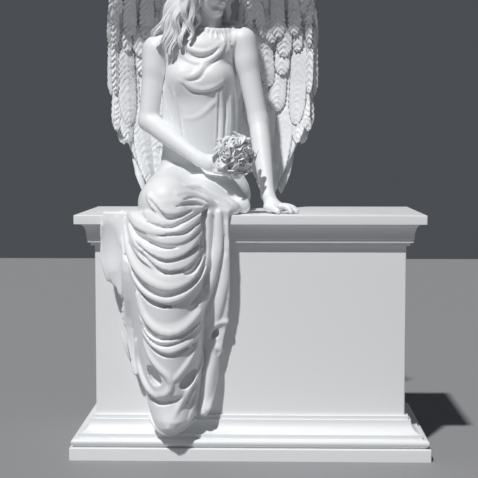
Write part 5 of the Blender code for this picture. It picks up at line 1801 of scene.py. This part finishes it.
@dataclass
class Wing:
    """One wing, a hollow sheet with feathers on both sides. hand is 1 for her left wing, -1 for her right.

    Places on it are (distance from the wings' middle line, height above the seat).
    """

    hand: int
    name: str
    middle: float = -0.145
    thickness: float = 0.024
    curl: float = 0.052
    step: float = 0.0075
    sweep: Sweep = field(default_factory=lambda: Sweep(
        Relief.FEATHER, section_points=16, flatness=0.20, groove_depth=0.0027, groove_spacing=0.024))
    # Heights with the wing's inner edge, its outer edge and its distance behind the seat's middle line
    rows: tuple[tuple[float, float, float, float], ...] = (
        (0.962, 0.178, 0.218, -0.004),
        (0.945, 0.155, 0.250, 0.014),
        (0.900, 0.134, 0.288, 0.056),
        (0.840, 0.122, 0.320, 0.106),
        (0.760, 0.112, 0.347, 0.155),
        (0.680, 0.098, 0.370, 0.193),
        (0.590, 0.078, 0.380, 0.211),
        (0.460, 0.066, 0.376, 0.214),
        (0.380, 0.068, 0.367, 0.210),
        (0.290, 0.084, 0.343, 0.205),
        (0.200, 0.112, 0.304, 0.200),
        (0.110, 0.150, 0.262, 0.194),
        (0.040, 0.178, 0.232, 0.190),
    )
    # Feathers as (root, tip, half width, how far it stands proud)
    feathers: tuple[tuple[tuple[float, float], tuple[float, float], float, float], ...] = (
        ((0.220, 0.327), (0.208, 0.045), 0.034, 0.001),
        ((0.150, 0.360), (0.178, 0.140), 0.032, 0.001),
        ((0.346, 0.550), (0.352, 0.285), 0.022, 0.001),
        ((0.328, 0.457), (0.322, 0.240), 0.030, 0.004),
        ((0.280, 0.420), (0.240, 0.062), 0.040, 0.005),
        ((0.140, 0.500), (0.142, 0.300), 0.032, 0.003),
        ((0.205, 0.457), (0.198, 0.215), 0.034, 0.005),
        ((0.108, 0.600), (0.112, 0.440), 0.026, 0.018),
        ((0.183, 0.513), (0.168, 0.327), 0.032, 0.007),
        ((0.365, 0.662), (0.366, 0.420), 0.017, 0.008),
        ((0.324, 0.647), (0.317, 0.301), 0.036, 0.010),
        ((0.253, 0.528), (0.239, 0.357), 0.034, 0.011),
        ((0.118, 0.720), (0.126, 0.560), 0.022, 0.018),
        ((0.145, 0.700), (0.160, 0.495), 0.028, 0.012),
        ((0.265, 0.632), (0.261, 0.491), 0.029, 0.015),
        ((0.183, 0.677), (0.205, 0.446), 0.030, 0.013),
        ((0.320, 0.699), (0.322, 0.576), 0.020, 0.016),
        ((0.280, 0.707), (0.268, 0.558), 0.030, 0.019),
        ((0.354, 0.793), (0.368, 0.595), 0.016, 0.012),
        ((0.138, 0.830), (0.180, 0.632), 0.022, 0.016),
        ((0.198, 0.737), (0.220, 0.614), 0.025, 0.019),
        ((0.128, 0.840), (0.138, 0.700), 0.018, 0.014),
        ((0.302, 0.819), (0.313, 0.640), 0.028, 0.021),
        ((0.239, 0.811), (0.246, 0.632), 0.030, 0.022),
        ((0.335, 0.860), (0.350, 0.720), 0.017, 0.018),
        ((0.170, 0.900), (0.186, 0.780), 0.026, 0.024),
        ((0.290, 0.905), (0.308, 0.790), 0.026, 0.024),
        ((0.235, 0.915), (0.248, 0.790), 0.030, 0.026),
        ((0.105, 0.640), (0.095, 0.515), 0.023, 0.025),
        ((0.112, 0.705), (0.100, 0.592), 0.021, 0.024),
        ((0.124, 0.765), (0.114, 0.662), 0.019, 0.022),
        ((0.132, 0.820), (0.124, 0.728), 0.017, 0.020),
        ((0.142, 0.870), (0.135, 0.792), 0.015, 0.018),
        ((0.284, 0.932), (0.296, 0.860), 0.020, 0.027),
        ((0.196, 0.944), (0.208, 0.870), 0.022, 0.028),
        ((0.240, 0.944), (0.252, 0.870), 0.024, 0.029),
    )
    feather_points: int = 64
    back_points: int = 22
    inner_margin: float = 0.006
    outer_margin: float = 0.008
    top: float = 0.956
    bottom: float = 0.05
    rounding: float = 0.010
    bow: float = 0.10
    nudge_out: float = 0.004
    nudge_up: float = 0.01
    tip_share: float = 0.28

    def behind(self, out: float | np.ndarray, height: float | np.ndarray) -> np.ndarray:
        """How far behind the seat's middle line the wing's middle sheet lies.

        Args:
            out: Distances from the wings' middle line.
            height: Heights above the seat.

        Returns:
            The distances behind.
        """
        inner, outer, behind = along(list(self.rows), height)
        across = np.clip((out - inner) / (outer - inner), 0.0, 1.0)
        return behind - self.curl * (2.0 * across - 1.0) ** 2

    def core(self) -> bpy.types.Mesh:
        """The sheet under the feathers, with its leading edge and its shoulder.

        Returns:
            Its mesh.
        """
        edges = sorted((self.middle + self.hand * 0.03, self.middle + self.hand * 0.41))
        box = ((edges[0], -0.10, 0.0), (edges[1], 0.26, 0.99))
        block = Block(box, self.step)
        cut, (x, y, z) = block.window(*box)
        out = (x - self.middle) * self.hand
        inner, outer, _ = along(list(self.rows), z)
        sides = np.maximum(inner + self.inner_margin - out, out - outer + self.outer_margin)
        sides = np.maximum(sides, np.maximum(z - self.top, self.bottom - z))
        sheet = np.abs(y - self.behind(out, z)) - self.thickness / 2
        near_sheet, near_side = np.maximum(sheet + self.rounding, 0), np.maximum(sides + self.rounding, 0)
        rounded = np.sqrt(near_sheet**2 + near_side**2) - self.rounding
        solid = np.maximum(rounded, np.minimum(sheet, sides) - self.rounding)
        block.join(cut, solid.astype(np.float32), 0.01)
        lead = [(0.195, 0.95), (0.222, 0.944), (0.262, 0.918), (0.3, 0.872), (0.334, 0.79), (0.356, 0.72)]
        lead_line = [self.place(*spot, 0.010) for spot in lead]
        block.chain(lead_line, (0.024, 0.030, 0.026, 0.019, 0.013, 0.009), blend=0.01)
        shoulder = [(0.180, 0.945), (0.134, 0.860), (0.116, 0.740), (0.094, 0.600), (0.086, 0.480)]
        shoulder_line = [self.place(*spot, 0.004) for spot in shoulder]
        block.chain(shoulder_line, (0.015, 0.015, 0.016, 0.018, 0.021), blend=0.012)
        return quad_mesh(f"{self.name}_core", *shown_skin(block))

    def place(self, out: float, height: float, lift: float) -> np.ndarray:
        """A point on the wing, lifted towards the front."""
        return np.array((self.middle + self.hand * out, float(self.behind(out, height)) - lift, height))

    def plumes(self, front: bool) -> list[Spine]:
        """The feathers on one side.

        Args:
            front: Whether it is the front.

        Returns:
            Their spines.
        """
        count = self.feather_points if front else self.back_points
        share = np.linspace(0.0, 1.0, count) ** 0.9
        spines = []
        for number, (root, tip, half, proud) in enumerate(self.feathers):
            bow = self.bow * math.sin(number * 2.1) * half
            out = root[0] + (tip[0] - root[0]) * share + bow * np.sin(math.pi * share)
            height = root[1] + (tip[1] - root[1]) * share
            behind = self.behind(out, height)
            rise = np.interp(share, (0.0, 0.25, 1.0), (-0.006, 0.35 * proud, proud + 0.001))
            lift = self.thickness / 2 + rise - (0.0 if front else 0.002)
            facing = -1.0 if front else 1.0
            beside = self.behind(out + self.nudge_out, height) - self.behind(out - self.nudge_out, height)
            over = self.behind(out, height + self.nudge_up) - self.behind(out, height - self.nudge_up)
            slope_out, slope_up = beside / (2 * self.nudge_out), over / (2 * self.nudge_up)
            aside, up = -facing * slope_out * self.hand, -facing * slope_up
            faces = np.stack([aside, np.full_like(out, facing), up], axis=1)
            faces /= np.linalg.norm(faces, axis=1)[:, None]
            points = np.stack([self.middle + self.hand * out, behind, height], axis=1) + faces * lift[:, None]
            near_tip = np.clip((share - 1.0 + self.tip_share) / self.tip_share, 0.0, 1.0)
            ends = np.sqrt(np.clip(1.0 - near_tip**2.2, 0.002, 1.0))
            halves = half * np.interp(share, (0.0, 0.3, 0.7, 1.0), (0.70, 0.95, 1.0, 0.95)) * ends
            spines.append(Spine(points, halves, faces))
        return spines

    def build(self) -> None:
        """Builds the wing as one piece."""
        plumes = self.sweep.mesh(f"{self.name}_plumes", self.plumes(True) + self.plumes(False))
        show(merged(self.name, plumes, self.core()))


# Bouquet: a ring of petals as its petal, how many there are, their slope, their first angle and their lift

Ring = tuple[bpy.types.Mesh, int, float, float, float]


@dataclass
class Bouquet:
    """Full blossoms with leaves between them, placed by a Geometry Nodes tree."""

    middle: Point = (-0.052, -0.225, 0.196)
    radii: Point = (0.048, 0.040, 0.052)
    blossoms: int = 16
    blossom_size: float = 0.030
    leaves: int = 14
    leaf_size: float = 0.040
    # Each ring's petal as shares of the blossom (half width, length, cup), then count, slope, angle and lift
    rings: tuple[tuple[float, float, float, int, float, float, float], ...] = (
        (0.55, 1.00, 0.30, 6, 0.10, 0.0, -0.004),
        (0.46, 0.80, 0.36, 5, 0.55, 0.5, -0.002),
        (0.36, 0.60, 0.34, 4, 0.95, 0.2, 0.000),
        (0.26, 0.46, 0.26, 3, 1.25, 0.9, 0.001),
    )
    petal_thickness: float = 0.0024
    leaf_thickness: float = 0.0026
    box: Box = ((-0.15, -0.31, 0.09), (0.04, -0.13, 0.29))
    step: float = 0.004
    petal_rows: int = 5
    petal_columns: int = 5
    seed: int = 3

    def petal(self, width: float, length: float, cup: float, thickness: float) -> bpy.types.Mesh:
        """One cupped petal that grows along +X from the origin and opens towards +Z.

        Args:
            width: Its widest half width.
            length: Its length.
            cup: How far its rim curls up.
            thickness: Its thickness.

        Returns:
            The petal's closed mesh.
        """
        form = bmesh.new()
        sheets = []
        for lift in (thickness, 0.0):
            rows = []
            for i in range(self.petal_rows + 1):
                t = i / self.petal_rows
                half = width * math.sin(math.pi * (0.16 + 0.74 * t)) ** 0.8
                row = []
                for k in range(self.petal_columns + 1):
                    s = 2.0 * k / self.petal_columns - 1.0
                    curl = cup * (0.55 * s * s + 0.9 * t * t) - 0.25 * cup * max(0.0, t - 0.8) * 5.0
                    row.append(form.verts.new((length * (t - 0.10 * s * s * t), half * s, curl + lift)))
                rows.append(row)
            sheets.append(rows)
        for rows, flip in ((sheets[0], False), (sheets[1], True)):
            for i in range(self.petal_rows):
                for k in range(self.petal_columns):
                    corners = [rows[i][k], rows[i + 1][k], rows[i + 1][k + 1], rows[i][k + 1]]
                    form.faces.new(corners[::-1] if flip else corners)
        rims = []
        for rows in sheets:
            far = [row[-1] for row in rows[-2::-1]]
            rims.append([row[0] for row in rows] + rows[-1][1:] + far + rows[0][-2:0:-1])
        top, under = rims
        for i in range(len(top)):
            k = (i + 1) % len(top)
            form.faces.new((top[i], under[i], under[k], top[k]))
        bmesh.ops.recalc_face_normals(form, faces=form.faces)
        return finished("petal", form)

    def spots(self, count: int) -> tuple[np.ndarray, np.ndarray]:
        """Places spread evenly over the bunch.

        Args:
            count: How many there are.

        Returns:
            The places above the seat, and the way each looks.
        """
        golden = math.pi * (3.0 - math.sqrt(5.0))
        number = np.arange(count)
        up = 1.0 - 2.0 * (number + 0.5) / count
        level = np.sqrt(1.0 - up * up)
        ways = np.stack([np.cos(golden * number) * level, np.sin(golden * number) * level, up], axis=1)
        return np.array(self.middle) + ways * np.array(self.radii), ways

    def tree(self, petals: list[bpy.types.Object], rings: list[Ring]) -> bpy.types.NodeTree:
        """The tree that makes a blossom of petal rings and puts one on each point.

        Args:
            petals: Each ring's petal.
            rings: The rings.

        Returns:
            The node tree.
        """
        graph = Graph(bpy.data.node_groups.new("blossoms", "GeometryNodeTree"))
        start = graph.open({"Smallest": "Float", "Largest": "Float", "Seed": "Int"})
        joined = graph.node("GeometryNodeJoinGeometry")
        for petal, (_, count, slope, first, lift) in zip(petals, rings):
            source = graph.node("GeometryNodeObjectInfo", Object=petal).outputs["Geometry"]
            line = graph.node("GeometryNodeMeshLine", Count=count, Start_Location=(0.0, 0.0, lift),
                              Offset=(0.0, 0.0, 0.0))
            index = Value(graph, graph.node("GeometryNodeInputIndex").outputs["Index"])
            rotation = graph.node("ShaderNodeCombineXYZ", X=0.0, Y=-slope,
                                  Z=index * (2 * math.pi / count) + first)
            ring = graph.node("GeometryNodeInstanceOnPoints", Points=line.outputs["Mesh"], Instance=source,
                              Rotation=rotation.outputs[0])
            graph.feed(joined.inputs[0], ring.outputs["Instances"])
        aimed = graph.node("FunctionNodeAlignRotationToVector", {"axis": "Z"},
                           Vector=graph.stored("way", "FLOAT_VECTOR"))
        size = graph.node("FunctionNodeRandomValue", {"data_type": "FLOAT"}, Seed=start["Seed"],
                          in_2=start["Smallest"], in_3=start["Largest"])
        spread_out = graph.node("GeometryNodeInstanceOnPoints", Points=start["Geometry"],
                                Instance=joined.outputs["Geometry"], Rotation=aimed.outputs["Rotation"],
                                Scale=size.outputs[1])
        graph.close(spread_out.outputs["Instances"], start["Material"])
        return graph.tree

    def copies(self, name: str, count: int, rings: list[Ring], smallest: float, largest: float
               ) -> bpy.types.Mesh:
        """Copies of a blossom or a leaf spread over the bunch.

        Args:
            name: The mesh's name.
            count: How many copies there are.
            rings: The petal rings of one copy.
            smallest: The smallest scale.
            largest: The largest scale.

        Returns:
            One plain mesh.
        """
        places, ways = self.spots(count)
        points = bpy.data.meshes.new(f"{name}_points")
        points.from_pydata((places + (0.0, 0.0, SEAT)).tolist(), [], [])
        store(points, "way", ways)
        petals = [placed("petal", ring[0]) for ring in rings]
        mesh = grown(name, points, self.tree(petals, rings), Smallest=smallest, Largest=largest,
                     Seed=self.seed)
        for petal in petals:
            bpy.data.objects.remove(petal)
        return mesh

    def build(self) -> None:
        """Builds the bouquet as one piece."""
        size = self.blossom_size
        rings = [
            (self.petal(width * size, length * size, cup * size, self.petal_thickness), *rest)
            for width, length, cup, *rest in self.rings
        ]
        flowers = self.copies("blossoms", self.blossoms, rings, 0.90, 1.20)
        size = self.leaf_size
        leaf = self.petal(0.30 * size, size, 0.10 * size, self.leaf_thickness)
        leaves = self.copies("leaves", self.leaves, [(leaf, 2, 0.35, 0.6, 0.004)], 0.85, 1.15)
        heart = Block(self.box, self.step)
        heart.ball(self.middle, tuple(radius - 0.003 for radius in self.radii), blend=0.01)
        show(merged("bouquet", flowers, leaves, quad_mesh("heart", *shown_skin(heart))))


def main() -> None:
    """Builds the headstone's pieces, the light and the view, and notes the sizes."""
    logging.basicConfig(level=logging.INFO, format="%(message)s")
    Studio().build()
    PHOTOGRAPH.camera()
    Pedestal().build()
    Cloth().build()
    Arms().build()
    Head().build()
    Hair().build()
    for wing in (Wing(1, "left_wing"), Wing(-1, "right_wing")):
        wing.build()
    Bouquet().build()


if __name__ == "__main__":
    main()
